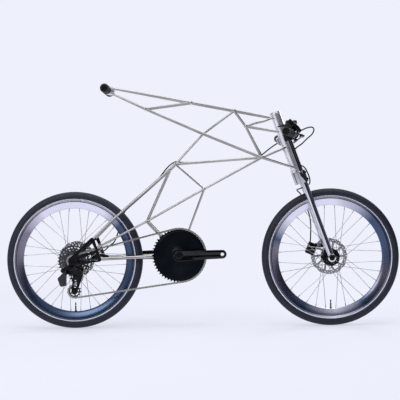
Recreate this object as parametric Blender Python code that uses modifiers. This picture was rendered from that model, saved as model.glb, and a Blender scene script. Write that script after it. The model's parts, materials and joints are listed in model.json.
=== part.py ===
"""Mini velo bicycle: a truss of thin polished tubes on two small wheels, with
a disc brake at each wheel and one large solid chainring.

Metres, +Z up. +X points forward, the drive side is -Y, and the origin lies on
the ground under the middle of the wheelbase."""

import math

import bmesh
import bpy
from mathutils import Matrix, Vector
from mathutils.geometry import convex_hull_2d

# Wheels
wheel_base = 0.974
rim_diameter = 0.469
rim_bed_diameter = rim_diameter - 0.009
rim_bed_width = 0.017
rim_shoulder_diameter = rim_diameter - 0.029
tyre_width = 0.035
tyre_diameter = rim_diameter + 0.052
rim_depth = 0.038
rim_width = 0.024
rim_nose_width = 0.011
spokes_per_wheel = 32
spoke_thickness = 0.0020
hub_flange_diameter = 0.066
hub_flange_thickness = 0.0035
hub_barrel_diameter = 0.026
hub_end_diameter = 0.020
spoke_circle_diameter = 0.060
spoke_lean = math.radians(67.5)
spoke_split = 0.0016
axle_diameter = 0.012
front_hub_width = 0.100
rear_hub_width = 0.135
front_flange_offset = 0.031
rear_drive_flange_offset = 0.0215
rear_far_flange_offset = 0.034
rotor_diameter = 0.140
rotor_track = 0.015
rotor_thickness = 0.0018
rotor_carrier_diameter = 0.050
rotor_seat_diameter = 0.034
rotor_arms = 5
front_rotor_inset = 0.0105
rear_rotor_inset = 0.0150
tyre_shoulder_diameter = rim_diameter + 0.021
tyre_crown_diameter = rim_diameter + 0.043
tyre_crown_width = 0.024
valve_diameter = 0.006
valve_length = 0.034
valve_turn = math.radians(270.0)

# Steering
head_angle = math.radians(71.0)
fork_rake = 0.0126
head_tube_diameter = 0.038
head_tube_bore = 0.0340
head_tube_bottom = 0.356
head_tube_length = 0.222
head_collar_height = 0.446
head_collar_length = 0.016
head_collar_thickness = 0.002
headset_height = 0.007
headset_diameter = 0.040
steerer_diameter = 0.0286
fork_leg_diameter = 0.0230
fork_leg_top = 0.503
fork_top_half_width = 0.036
fork_end_half_width = 0.0575
fork_end_diameter = 0.030
fork_end_inner_face = 0.0503
fork_end_outer_face = 0.0697
crown_bottom = 0.300
crown_height = 0.046
crown_wall = 0.006
handlebar_diameter = 0.0222
handlebar_half_width = 0.270
bar_height = 0.4823
handlebar_lead = 0.026
handlebar_straight = 0.050
handlebar_sweep = 0.046
bar_clamp_width = 0.016
bar_clamp_wall = 0.005
grip_diameter = 0.030
grip_length = 0.125

# Cranks and chain
bracket_back = 0.0855
bracket_height = 0.2755
bracket_shell_diameter = 0.042
bracket_shell_width = 0.068
bracket_bore = 0.0246
cup_width = 0.0065
cup_diameter = 0.039
spindle_diameter = 0.024
crank_length = 0.1625
crank_end_height = 0.034
crank_root_height = 0.044
crank_thickness = 0.013
crank_outer_face = 0.074
crank_bolt_recess = 0.0010
crank_recess_diameter = 0.0340
crank_rise = math.radians(1.4)
pedal_hole_diameter = 0.014
chain_pitch = 0.0127
chain_plate_height = 0.0080
chain_plate_thickness = 0.0007
chain_inner_half_width = 0.00105
chain_roller_length = 0.0038
chainring_teeth = 50
chainring_offset = 0.0435
chainring_thickness = 0.0016
chainring_disc_thickness = 0.0048
chainring_disc_radius = 0.0930
chainring_boss_radius = 0.0220
sprocket_teeth = (10, 12, 14, 16, 18, 21, 25, 30)
sprocket_spacing = 0.0048
sprocket_thickness = 0.0016
sprocket_outer_offset = 0.0640
sprocket_core_diameter = 0.030
rear_hub_split = 0.0275
cassette_end = 0.0672
pulley_teeth = 12
pulley_thickness = 0.0016
tooth_rise = 0.0022
tooth_root = 0.0043
chain_square_run = 0.042
tooth_gullet = 0.0075
tooth_tip_half_width = 0.0008

# Truss: each spot is (forward, half width, height)
crossbar_spot = (-0.3545, 0.907)
crossbar_half_length = 0.085
crossbar_diameter = 0.022
sleeve_diameter = 0.034
crossbar_clamp_width = 0.036
crossbar_clamp_diameter = 0.031
clamp_nose = (-0.3400, 0.9040)
clamp_nose_radius = 0.015
chord_back_top = (-0.3335, 0.011, 0.9140)
chord_back_low = (-0.3345, 0.011, 0.8935)
head_top_height = 0.5615
head_top_half_width = 0.012
back_knee_x = -0.0336
front_knee_x = 0.1297
knee_half_width = 0.026
low_back = (-0.2077, 0.024, 0.8323)
low_middle = (0.0103, 0.034, 0.7345)
nose = (0.2330, 0.044, 0.6412)
branch = (0.1731, 0.032, 0.7606)
shoulder = (-0.0970, 0.040, 0.6207)
stay_knot = (-0.1180, 0.040, 0.6000)
waist = (0.0112, 0.044, 0.5248)
rear_knot = (-0.2081, 0.037, 0.4050)
brace_bow = ((0.211, 0.029, 0.7735), (0.242, 0.024, 0.7795), (0.260, 0.020, 0.7860))
bow_diameter = 0.0060
brace_front_x = 0.2720
brace_front_half_width = 0.0155
stay_bends = ((-0.3449, 0.054, 0.4054),)
stay_end = (-0.4130, 0.0700, 0.3390)
lower_stay_end = (-0.3970, 0.0695, 0.3085)
chain_stay_end = (-0.3850, 0.0665, 0.2665)
brace_head_height = 0.507
nose_head_high = 0.449
nose_head_low = 0.364
nose_head_half_width = 0.015
bracket_strut_half_width = 0.027
chain_stay_bend = (-0.2100, 0.031, 0.2710)
chord_diameter = 0.0080
web_diameter = 0.0070
stay_diameter = 0.0085
bracket_strut_diameter = 0.0105
chain_stay_diameter = 0.0125
knot_diameter = 0.0115
knot_reach = 0.005

# Rear ends and derailleur
end_plate_thickness = 0.007
end_plate_inner_face = 0.068
end_plate_top = (-0.4115, 0.3395, 0.0085)
end_plate_front = (-0.3860, 0.2655, 0.0085)
end_plate_windows = (
    ((-0.4560, 0.2830, 0.002), (-0.4170, 0.3240, 0.002), (-0.4080, 0.3050, 0.002)),
    ((-0.4545, 0.2660, 0.002), (-0.3960, 0.2690, 0.002), (-0.4010, 0.2920, 0.002)),
)
end_boss_diameter = 0.030
hanger_spot = (-0.4960, 0.2305)
hanger_radius = 0.0095
hanger_thickness = 0.006
link_length = 0.046
link_swing = math.radians(38.0)
link_slope = math.radians(36.87)
link_slant = math.radians(51.0)
link_spread = 0.011
link_radius = 0.0038
link_half_width = 0.0065
link_slot_half = 0.0034
link_slot_radius = 0.0100
link_pin_diameter = 0.0030
tongue_radius = 0.0042
tongue_half = 0.0030
post_offset = 0.0095
post_radius = 0.0038
knuckle_offset = 0.0935
knuckle_flange_radius = 0.0100
knuckle_drum_radius = 0.0125
cage_arm = 0.0843
guide_arm = 0.0320
guide_lead = math.radians(-20.0)
cage_angle_guess = math.radians(-110.5)
cage_plate_thickness = 0.0015
cage_plate_inner = 0.0032
cage_bolt_diameter = 0.0050
battery_corners = (
    (-0.5330, 0.1965, 0.006),
    (-0.5140, 0.2150, 0.006),
    (-0.5140, 0.1750, 0.006),
    (-0.5250, 0.1735, 0.006),
)
battery_offset = 0.0885
battery_thickness = 0.022

# Brakes and controls
caliper_slot = 0.0032
front_caliper_turn = math.radians(156.3)
front_bracket_height = 0.045
rear_caliper_turn = math.radians(16.6)
lever_position = 0.133
lever_clamp_width = 0.012
lever_body_diameter = 0.021
lever_reach = 0.078
lever_droop = math.radians(23.0)
lever_blade_thickness = 0.006
shift_pod_position = 0.106
guide_height = 0.480
guide_size = (0.012, 0.014, 0.028)
hose_diameter = 0.0050
front_hose_loop = (
    (0.3705, -0.1475, 0.7335),
    (0.3960, -0.1480, 0.7450),
    (0.4150, -0.1400, 0.7440),
    (0.4160, -0.1150, 0.7240),
    (0.3974, -0.0850, 0.7063),
    (0.3791, -0.0600, 0.6877),
    (0.3660, -0.0400, 0.6790),
    (0.3590, -0.0245, 0.6680),
)
front_hose_leg_heights = (0.430, 0.375)
front_hose_crown = (
    (0.352, 0.0350, -0.0300),
    (0.291, 0.0350, -0.0280),
    (0.283, -0.0040, -0.0180),
    (0.281, -0.0200, 0.0200),
)
front_hose_end = (
    (0.3850, 0.0380, 0.4950),
    (0.4170, 0.0470, 0.4111),
    (0.4180, 0.0500, 0.3340),
    (0.4155, 0.0500, 0.3120),
)
steering_hose_run = (
    (0.3705, 0.1475, 0.7335),
    (0.3880, 0.1440, 0.7350),
    (0.4000, 0.1300, 0.7300),
    (0.3849, 0.1000, 0.7184),
    (0.3630, 0.0600, 0.7008),
    (0.3370, 0.0560, 0.6900),
    (0.3060, 0.0420, 0.6900),
    (0.2990, 0.0200, 0.7000),
    (0.2960, 0.0086, 0.7062),
)
rear_hose_run = (
    (0.2935, 0.0000, 0.6960),
    (0.2620, 0.0020, 0.6750),
    (0.2330, 0.0060, 0.6520),
    (0.2080, 0.0100, 0.6415),
    (0.1000, 0.0120, 0.6340),
    (-0.0600, 0.0120, 0.6265),
    (-0.0950, 0.0140, 0.6318),
    (-0.1250, 0.0260, 0.6140),
    (-0.1500, 0.0340, 0.5850),
    (-0.1900, 0.0345, 0.5382),
    (-0.2877, 0.0400, 0.4545),
    (-0.3050, 0.0440, 0.4200),
    (-0.3361, 0.0470, 0.3322),
    (-0.3538, 0.0470, 0.3150),
    (-0.3814, 0.0480, 0.2902),
    (-0.4039, 0.0480, 0.2860),
)

gap = 0.0003
wheel_radius = tyre_diameter / 2
round_sides = 6

for old in list(bpy.data.objects):
    bpy.data.objects.remove(old, do_unlink=True)
assembly = bpy.data.collections.new("mini_velo_bicycle")
bpy.context.scene.collection.children.link(assembly)

side_view = Matrix(((1, 0, 0, 0), (0, 0, -1, 0), (0, 1, 0, 0), (0, 0, 0, 1)))
weld_distance = 1e-6
flat_angle = 0.0002


# Building blocks


def loose(data, matrix=None):
    """An object for mesh or curve data that has no name of its own yet."""
    shape = bpy.data.objects.new("shape", data)
    shape.matrix_world = matrix or Matrix()
    assembly.objects.link(shape)
    return shape


def settle(shape):
    """The shape as one mesh in world space, with its modifiers applied and its seams welded."""
    bpy.context.view_layer.update()
    graph = bpy.context.evaluated_depsgraph_get()
    mesh = bpy.data.meshes.new_from_object(shape.evaluated_get(graph))
    mesh.transform(shape.matrix_world)
    work = bmesh.new()
    work.from_mesh(mesh)
    bmesh.ops.remove_doubles(work, verts=work.verts, dist=weld_distance)
    bmesh.ops.dissolve_degenerate(work, edges=work.edges, dist=weld_distance)
    bmesh.ops.dissolve_limit(work, angle_limit=flat_angle, verts=work.verts, edges=work.edges)
    bmesh.ops.recalc_face_normals(work, faces=work.faces)
    work.to_mesh(mesh)
    work.free()
    bpy.data.objects.remove(shape, do_unlink=True)
    return loose(mesh)


def combine(shape, tools, operation):
    for tool in tools:
        step = shape.modifiers.new(operation.lower(), "BOOLEAN")
        step.operation = operation
        step.solver = "EXACT"
        step.object = tool
    result = settle(shape)
    for tool in tools:
        bpy.data.objects.remove(tool, do_unlink=True)
    return result


def gather(shapes):
    """Shapes that don't touch, as one."""
    work = bmesh.new()
    for shape in shapes:
        bpy.context.view_layer.update()
        shape.data.transform(shape.matrix_world)
        work.from_mesh(shape.data)
        bpy.data.objects.remove(shape, do_unlink=True)
    return from_work(work)


def union(shapes):
    return combine(shapes[0], shapes[1:], "UNION")


def cut(shape, tools):
    return combine(shape, tools, "DIFFERENCE")


def main_part(shape):
    """The largest connected part of a shape."""
    work = bmesh.new()
    work.from_mesh(shape.data)
    parts = []
    left = set(work.verts)
    while left:
        part = {left.pop()}
        edge_of_part = list(part)
        while edge_of_part:
            corner = edge_of_part.pop()
            for edge in corner.link_edges:
                other = edge.other_vert(corner)
                if other in left:
                    left.discard(other)
                    part.add(other)
                    edge_of_part.append(other)
        parts.append(part)
    largest = max(parts, key=len)
    crumbs = [corner for part in parts if part is not largest for corner in part]
    bmesh.ops.delete(work, geom=crumbs, context="VERTS")
    work.to_mesh(shape.data)
    work.free()
    return shape


def from_work(work, matrix=None):
    mesh = bpy.data.meshes.new("shape")
    work.to_mesh(mesh)
    work.free()
    return loose(mesh, matrix)


def rod(start, end, diameter, sides=round_sides):
    start = Vector(start)
    end = Vector(end)
    along = end - start
    work = bmesh.new()
    bmesh.ops.create_cone(
        work, cap_ends=True, segments=sides, depth=along.length, radius1=diameter / 2, radius2=diameter / 2
    )
    turn = along.to_track_quat("Z", "Y").to_matrix().to_4x4()
    work.transform(Matrix.Translation((start + end) / 2) @ turn)
    return from_work(work)


def tube(points, diameter, sides=round_sides):
    curve = bpy.data.curves.new("tube", "CURVE")
    curve.dimensions = "3D"
    curve.bevel_depth = diameter / 2
    curve.bevel_resolution = (sides - 4) // 2
    curve.use_fill_caps = True
    spline = curve.splines.new("POLY")
    spline.points.add(len(points) - 1)
    for knot_point, place in zip(spline.points, points):
        knot_point.co = (*place, 1)
    return settle(loose(curve))


def turned(profile, matrix, steps):
    """A profile of (radius, height) points, turned about the local Z axis of the matrix."""
    work = bmesh.new()
    corners = [work.verts.new((radius, 0, height)) for radius, height in profile]
    for first, second in zip(corners, corners[1:]):
        work.edges.new((first, second))
    if min(radius for radius, height in profile) > 0:
        work.edges.new((corners[-1], corners[0]))
    shape = from_work(work, matrix)
    screw = shape.modifiers.new("turn", "SCREW")
    screw.steps = steps
    screw.render_steps = steps
    screw.use_merge_vertices = True
    screw.merge_threshold = 1e-5
    return settle(shape)


def plate(outlines, thickness, matrix):
    """A flat plate in the local XY plane of the matrix; outlines after the first are its holes."""
    curve = bpy.data.curves.new("plate", "CURVE")
    curve.dimensions = "2D"
    curve.fill_mode = "BOTH"
    curve.extrude = thickness / 2
    for outline in outlines:
        spline = curve.splines.new("POLY")
        spline.points.add(len(outline) - 1)
        for corner, (across, up) in zip(spline.points, outline):
            corner.co = (across, up, 0, 1)
        spline.use_cyclic_u = True
    return settle(loose(curve, matrix))


def join_loops(work, one, two):
    """Faces between two loops of corners that both run once round the middle."""
    if len(one) == len(two):
        for index in range(len(one)):
            after = (index + 1) % len(one)
            work.faces.new((one[index], one[after], two[after], two[index]))
        return
    turns = []
    for loop in (one, two):
        angles = [math.atan2(corner.co.y, corner.co.x) for corner in loop]
        turns.append(angles + [angles[0] + 2 * math.pi])
    first = second = 0
    while first < len(one) or second < len(two):
        here = one[first % len(one)]
        there = two[second % len(two)]
        if second == len(two) or (first < len(one) and turns[0][first + 1] <= turns[1][second + 1]):
            first += 1
            work.faces.new((here, one[first % len(one)], there))
        else:
            second += 1
            work.faces.new((here, two[second % len(two)], there))


def loops_round(loops, matrix):
    """A closed ring of surfaces through loops of (outline, height) about the matrix's Z axis."""
    work = bmesh.new()
    rings = []
    for outline, height in loops:
        order = sorted(outline, key=lambda spot: math.atan2(spot[1], spot[0]))
        rings.append([work.verts.new((spot[0], spot[1], height)) for spot in order])
    for one, two in zip(rings, rings[1:] + rings[:1]):
        join_loops(work, one, two)
    bmesh.ops.recalc_face_normals(work, faces=work.faces)
    return settle(from_work(work, matrix))


def block(size, matrix, edge=0.0):
    work = bmesh.new()
    bmesh.ops.create_cube(work, size=1.0)
    bmesh.ops.scale(work, vec=size, verts=work.verts)
    shape = from_work(work, matrix)
    if edge:
        bevel = shape.modifiers.new("edge", "BEVEL")
        bevel.width = edge
        bevel.segments = 1
    return settle(shape)


def circle_points(centre, radius, count):
    turns = [2 * math.pi * step / count for step in range(count)]
    return [(centre[0] + radius * math.cos(turn), centre[1] + radius * math.sin(turn)) for turn in turns]


def round_hull(circles, count=12):
    """The outline of a band stretched round circles given as (across, up, radius)."""
    points = []
    for across, up, radius in circles:
        points += circle_points((across, up), radius, count)
    order = convex_hull_2d([Vector(point) for point in points])
    return [points[index] for index in order]


def across(place, drive):
    """A point of the side view (forward, height), so far out toward the drive side."""
    return Vector((place[0], -drive, place[1]))


def pin(place, drive_from, drive_to, diameter, sides=round_sides):
    return rod(across(place, drive_from), across(place, drive_to), diameter, sides)


def facing(place, drive=0.0):
    """The side view at a place: local X forward, local Y up and local Z toward the drive side."""
    return Matrix.Translation(across(place, drive)) @ side_view


def material(name, colour, roughness, metallic):
    finish = bpy.data.materials.new(name)
    finish.use_nodes = True
    shader = finish.node_tree.nodes["Principled BSDF"]
    shader.inputs["Base Color"].default_value = (*colour, 1.0)
    shader.inputs["Roughness"].default_value = roughness
    shader.inputs["Metallic"].default_value = metallic
    return finish


def carrier(name, place=(0, 0, 0), parent=None):
    """An empty on a joint's axis, which the pieces of one moving body hang from."""
    empty = bpy.data.objects.new(name, None)
    empty.empty_display_size = 0.02
    assembly.objects.link(empty)
    if parent:
        empty.parent = parent
        empty.matrix_parent_inverse = parent.matrix_world.inverted()
    empty.matrix_world = Matrix.Translation(place)
    bpy.context.view_layer.update()
    return empty


def piece(name, shape, finish, body):
    shape.name = name
    shape.data.name = name
    shape.data.materials.append(finish)
    shape.data.shade_smooth()
    shape.data.set_sharp_from_angle(angle=math.radians(38))
    shape.parent = body
    shape.matrix_parent_inverse = body.matrix_world.inverted()
    return shape


# Where things are

front_axle_spot = (wheel_base / 2, wheel_radius)
rear_axle_spot = (-wheel_base / 2, wheel_radius)
bracket_spot = (-bracket_back, bracket_height)
steer_up = Vector((-math.cos(head_angle), 0, math.sin(head_angle)))
steer_ahead = Vector((math.sin(head_angle), 0, math.cos(head_angle)))
steer_foot = across(front_axle_spot, 0) - steer_ahead * fork_rake
steer_frame = Matrix.Translation(steer_foot) @ Matrix(
    (
        (steer_ahead.x, 0, steer_up.x, 0),
        (0, 1, 0, 0),
        (steer_ahead.z, 0, steer_up.z, 0),
        (0, 0, 0, 1),
    )
)
steer_turn = steer_frame.to_3x3().to_4x4()
head_tube_top = head_tube_bottom + head_tube_length


def on_steering(height, ahead=0.0, side=0.0):
    """A point so far up the steering axis, ahead of it and to the left."""
    return steer_frame @ Vector((ahead, side, height))


def head_spot(height, half_width):
    point = on_steering(height)
    return (point.x, half_width, point.z)


chord_front = head_spot(head_top_height, head_top_half_width)


def chord_spot(x, half_width):
    """A spot on the straight top chord."""
    share = (x - chord_back_top[0]) / (chord_front[0] - chord_back_top[0])
    return (x, half_width, chord_back_top[2] + share * (chord_front[2] - chord_back_top[2]))


back_knee = chord_spot(back_knee_x, knee_half_width)
front_knee = chord_spot(front_knee_x, knee_half_width)
brace_front = chord_spot(brace_front_x, brace_front_half_width)


# Truss


def at(spot, side):
    return Vector((spot[0], side * spot[1], spot[2]))


def pair(spots, diameter, sides=round_sides):
    return [tube([at(spot, side) for spot in spots], diameter, sides) for side in (-1, 1)]


def cross_tube(spot, diameter):
    """A short tube across the frame at a spot, its ends just past the tubes that meet there."""
    wide = (spot[0], spot[1] + knot_reach, spot[2])
    return rod(at(wide, -1), at(wide, 1), diameter)


def top_chords(grow=0.0):
    chords = pair([chord_back_top, back_knee, front_knee, chord_front], chord_diameter + grow)
    knots = [cross_tube(spot, knot_diameter + grow) for spot in (back_knee, front_knee)]
    return union(chords + knots)


def lower_chords(grow=0.0):
    """The lower chords with the bar between them, and the diagonal that crosses it in the middle."""
    chords = pair([chord_back_low, low_back, low_middle, nose], chord_diameter + grow)
    struts = pair([low_back, back_knee], web_diameter + grow)
    bar = rod(at(low_middle, -1), at(low_middle, 1), web_diameter + grow)
    middles = [Vector((spot[0], 0, spot[2])) for spot in (front_knee, low_middle, shoulder)]
    spine = tube(middles, chord_diameter + grow)
    return union(chords + struts + [cross_tube(low_back, knot_diameter + grow), bar, spine])


def head_braces(grow=0.0):
    """Everything between the front of the truss and the head tube, and the diagonals behind it."""
    legs = pair([front_knee, branch, nose], web_diameter + grow)
    bows = pair([branch, *brace_bow, brace_front], bow_diameter + grow)
    middle = pair([branch, head_spot(brace_head_height, head_top_half_width)], web_diameter + grow)
    high = pair([nose, head_spot(nose_head_high, nose_head_half_width)], chord_diameter + grow)
    low = pair([nose, head_spot(nose_head_low, nose_head_half_width)], web_diameter + grow)
    knots = [cross_tube(spot, knot_diameter + grow) for spot in (branch, nose)]
    return union(legs + bows + middle + high + low + knots)


def long_chords(grow=0.0):
    """The long lower chords, carried on behind as the lower stays."""
    chords = pair([lower_stay_end, rear_knot, waist, nose], chord_diameter + grow)
    knots = [cross_tube(spot, knot_diameter + grow) for spot in (rear_knot, waist)]
    return union(chords + knots)


def seat_stays(grow=0.0):
    """The seat stays with the middle chords that run on forward and down from the shoulder."""
    stays = pair([shoulder, stay_knot, *stay_bends, stay_end], stay_diameter + grow)
    struts = pair([stay_knot, rear_knot], web_diameter + grow)
    forward = pair([shoulder, nose], web_diameter + grow)
    down = pair([shoulder, waist], web_diameter + grow)
    knots = [cross_tube(spot, knot_diameter + grow) for spot in (shoulder, stay_knot)]
    return union(stays + struts + forward + down + knots)


def bracket(grow=0.0):
    """The bottom bracket shell with the struts and the chain stays that grow from it."""
    middle = (bracket_spot[0], bracket_strut_half_width, bracket_spot[1])
    half = bracket_shell_width / 2
    shell = pin(bracket_spot, -half, half, bracket_shell_diameter + grow, 16)
    front = pair([waist, middle], web_diameter + grow)
    back = pair([rear_knot, middle], bracket_strut_diameter + grow)
    stays = pair([chain_stay_end, chain_stay_bend, middle], chain_stay_diameter + grow, 8)
    cups = pin(bracket_spot, -half - cup_width, half + cup_width, cup_diameter + grow, 16)
    bore = pin(bracket_spot, -2 * half, 2 * half, bracket_bore + 2 * gap, 12)
    return cut(union([shell, cups] + front + back + stays), [bore])


def head_tube(grow=0.0):
    outer = (head_tube_diameter + grow) / 2
    collar = outer + head_collar_thickness
    bore = head_tube_bore / 2
    collar_low = head_collar_height - head_collar_length / 2
    collar_high = head_collar_height + head_collar_length / 2
    profile = [
        (bore, head_tube_bottom),
        (outer, head_tube_bottom),
        (outer, collar_low),
        (collar, collar_low),
        (collar, collar_high),
        (outer, collar_high),
        (outer, head_tube_top),
        (bore, head_tube_top),
    ]
    barrel = turned(profile, steer_frame, 16)
    middle = on_steering(guide_height, -outer - guide_size[0] / 2 + 0.001)
    size = (guide_size[0], guide_size[1] + grow, guide_size[2] + grow)
    guide = block(size, Matrix.Translation(middle) @ steer_turn)
    if grow:
        return union([barrel, guide])
    return cut(union([barrel, guide]), [socket(rear_hose_run[1], rear_hose_run[0])])


def end_plate(side, grow=0.0):
    """A flat rear end with two windows; the drive side's also carries the derailleur."""
    corners = [(*rear_axle_spot, end_boss_diameter / 2 + grow)]
    corners += [(x, z, radius + grow) for x, z, radius in (end_plate_top, end_plate_front)]
    middle = end_plate_inner_face + end_plate_thickness / 2
    body = plate([round_hull(corners, 10)], end_plate_thickness + grow, facing((0, 0), -side * middle))
    if side < 0:
        hanger = [(*rear_axle_spot, hanger_radius + grow), (*hanger_spot, hanger_radius + grow)]
        arm = plate([round_hull(hanger, 10)], hanger_thickness + grow, facing((0, 0), middle))
        body = union([body, arm])
    if grow:
        return body
    far = end_plate_inner_face + end_plate_thickness
    holes = [
        plate([round_hull(window, 4)], 3 * end_plate_thickness, facing((0, 0), -side * middle))
        for window in end_plate_windows
    ]
    holes.append(pin(rear_axle_spot, -side * far * 0.8, -side * far * 1.2, axle_diameter + 2 * gap, 12))
    return cut(body, holes)


def seated(shape, *neighbours):
    """The shape cut back to leave a thin gap round each neighbour, without any crumbs past it."""
    return main_part(cut(shape, [neighbour(2 * gap) for neighbour in neighbours]))


# Wheels


def tyre(place):
    bed = rim_bed_diameter / 2 + gap
    half = [
        (bed, rim_bed_width / 2 - gap),
        (rim_diameter / 2 + 2 * gap, rim_width / 2 + gap),
        (tyre_shoulder_diameter / 2, tyre_width / 2),
        (tyre_crown_diameter / 2, tyre_crown_width / 2),
    ]
    left = [(radius, -side) for radius, side in half]
    return turned(left + [(tyre_diameter / 2, 0)] + half[::-1], facing(place), 32)


def rim(place):
    """The rim, with the valve that stands on its inner side."""
    nose_radius = rim_diameter / 2 - rim_depth
    half = [
        (nose_radius, rim_nose_width / 2),
        (rim_shoulder_diameter / 2, rim_width / 2),
        (rim_diameter / 2, rim_width / 2),
        (rim_bed_diameter / 2, rim_bed_width / 2),
    ]
    left = [(radius, -side) for radius, side in half]
    ring = turned(left + half[::-1], facing(place), 32)
    toward = Vector((math.cos(valve_turn), 0, math.sin(valve_turn)))
    middle = across(place, 0)
    inner = middle + toward * (nose_radius - valve_length)
    stem = rod(inner, middle + toward * (nose_radius + 0.005), valve_diameter)
    return union([ring, stem])


def hub_profile(far_flange, drive_flange, half, rotor_offset, end_radius):
    """Heights run from the drive side, which is up in the side view, to the far side."""
    bore = axle_diameter / 2 + gap
    flange = hub_flange_diameter / 2
    thick = hub_flange_thickness / 2
    barrel = hub_barrel_diameter / 2
    seat = rotor_seat_diameter / 2
    step = rotor_offset - rotor_thickness / 2 - gap
    return [
        (bore, half[0]),
        (end_radius, half[0]),
        (end_radius, drive_flange + thick + 0.002),
        (flange, drive_flange + thick),
        (flange, drive_flange - thick),
        (barrel, drive_flange - thick - 0.002),
        (barrel, -far_flange + thick + 0.002),
        (flange, -far_flange + thick),
        (flange, -far_flange - thick),
        (seat + 0.0015, -far_flange - thick),
        (seat + 0.0015, -step),
        (seat, -step),
        (seat, -step - 0.0035),
        (end_radius, -step - 0.0050),
        (end_radius, -half[1]),
        (bore, -half[1]),
    ]


def hub_and_spokes(place, far_flange, drive_flange, half, rotor_offset, end_radius):
    hub = turned(hub_profile(far_flange, drive_flange, half, rotor_offset, end_radius), facing(place), 12)
    nose = (rim_diameter / 2 - rim_depth) * math.cos(math.pi / 32) - gap
    spokes = []
    for index in range(spokes_per_wheel):
        turn = 2 * math.pi * (index + 0.5) / spokes_per_wheel
        leading = 1 if (index // 2) % 2 == 0 else -1
        lean = leading * spoke_lean
        side = drive_flange if index % 2 == 0 else -far_flange
        inner = facing(place) @ Vector(
            (
                spoke_circle_diameter / 2 * math.cos(turn + lean),
                spoke_circle_diameter / 2 * math.sin(turn + lean),
                side + leading * spoke_split,
            )
        )
        rim_side = 0.0012 if index % 2 == 0 else -0.0012
        outer = facing(place) @ Vector((nose * math.cos(turn), nose * math.sin(turn), rim_side))
        spokes.append(rod(inner, outer, spoke_thickness, 3))
    return union([hub, gather(spokes)])


def rotor(place, offset):
    outer = rotor_diameter / 2
    inner = outer - rotor_track
    carrier_edge = rotor_carrier_diameter / 2
    outlines = [circle_points((0, 0), outer, 32)]
    outlines.append(circle_points((0, 0), rotor_seat_diameter / 2 + gap + 0.0004, 12))
    for index in range(rotor_arms):
        start = 2 * math.pi * index / rotor_arms
        stop = 2 * math.pi * (index + 1) / rotor_arms
        reach = [start + 0.11 + step * (stop - start - 0.22) / 3 for step in range(4)]
        window = [(inner * math.cos(turn), inner * math.sin(turn)) for turn in reach]
        back = [stop - 0.50, start + 0.02]
        window += [(carrier_edge * math.cos(turn), carrier_edge * math.sin(turn)) for turn in back]
        outlines.append(window)
    return plate(outlines, rotor_thickness, facing(place, -offset))


def axle(place, half_length, head_radius, head_thickness):
    shaft = axle_diameter / 2
    end = half_length + head_thickness
    profile = [(0, end), (head_radius, end), (head_radius, half_length), (shaft, half_length)]
    return turned(profile + [(radius, -height) for radius, height in profile[::-1]], facing(place), 12)


# Chain and sprockets


def pitch_radius(teeth):
    return chain_pitch / (2 * math.sin(math.pi / teeth))


link_middle = Vector((math.cos(link_slope), 0, -math.sin(link_slope)))
link_lift = Vector((math.sin(link_slope), 0, math.cos(link_slope)))
link_motion = Vector((0, 1, 0)) * math.cos(link_slant) - link_lift * math.sin(link_slant)
link_axis = link_middle.cross(link_motion)
link_rest = link_middle * math.cos(link_swing) - link_motion * math.sin(link_swing)
upper_pivot = across(hanger_spot, knuckle_offset)
lower_pivot = upper_pivot + link_rest * link_length
cage_spot = (lower_pivot.x, lower_pivot.z)


def cage_places(angle):
    """Where the tension pulley and the guide pulley stand for a cage at this angle."""
    middle = Vector(cage_spot)
    tension = middle + Vector((math.cos(angle), math.sin(angle))) * cage_arm
    lead = angle + guide_lead
    guide = middle + Vector((math.cos(lead), math.sin(lead))) * guide_arm
    return tension, guide


def chain_path(angle):
    """The chain's path as pieces of (length, start, heading, signed radius, offsets)."""
    tension, guide = cage_places(angle)
    stops = [
        (Vector(bracket_spot), -pitch_radius(chainring_teeth), chainring_offset),
        (tension, -pitch_radius(pulley_teeth), sprocket_outer_offset),
        (guide, pitch_radius(pulley_teeth), sprocket_outer_offset),
        (Vector(rear_axle_spot), -pitch_radius(sprocket_teeth[0]), sprocket_outer_offset),
    ]
    runs = []
    for (first, radius_one, drive_one), (second, radius_two, drive_two) in zip(stops, stops[1:] + stops[:1]):
        span = second - first
        heading = math.atan2(span.y, span.x) - math.asin((radius_two - radius_one) / span.length)
        normal = Vector((-math.sin(heading), math.cos(heading)))
        start = first - normal * radius_one
        end = second - normal * radius_two
        runs.append(((end - start).length, start, heading, 0, drive_one, drive_two))
    path = []
    for index, (centre, radius, drive) in enumerate(stops):
        arrive = runs[index - 1][2]
        leave = runs[index][2]
        sweep = (leave - arrive) % (2 * math.pi) if radius > 0 else (arrive - leave) % (2 * math.pi)
        normal = Vector((-math.sin(arrive), math.cos(arrive)))
        path.append((abs(radius) * sweep, centre - normal * radius, arrive, radius, drive, drive))
        path.append(runs[index])
    return path


def on_path(path, distance):
    """The point and the offset so far along the path."""
    distance = distance % sum(stretch[0] for stretch in path)
    for length, start, heading, radius, drive_one, drive_two in path:
        if distance <= length:
            break
        distance -= length
    share = 0
    if drive_one != drive_two:
        share = min(max((distance - chain_square_run) / (length - 2 * chain_square_run), 0), 1)
    drive = drive_one + (drive_two - drive_one) * share
    if not radius:
        return start + Vector((math.cos(heading), math.sin(heading))) * distance, drive
    turn = heading + distance / radius
    centre = start - Vector((math.sin(heading), -math.cos(heading))) * radius
    return centre + Vector((math.sin(turn), -math.cos(turn))) * radius, drive


def pin_distances(path, count):
    """How far along the path each pin lies, every pin one pitch from the last in a straight line."""
    distances = [0.0]
    for index in range(count):
        here, drive = on_path(path, distances[-1])
        step = chain_pitch
        for attempt in range(8):
            there, drive = on_path(path, distances[-1] + step)
            step += chain_pitch - (there - here).length
        distances.append(distances[-1] + step)
    return distances


def chain_left_over(angle, count):
    path = chain_path(angle)
    return pin_distances(path, count)[-1] - sum(stretch[0] for stretch in path)


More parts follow.
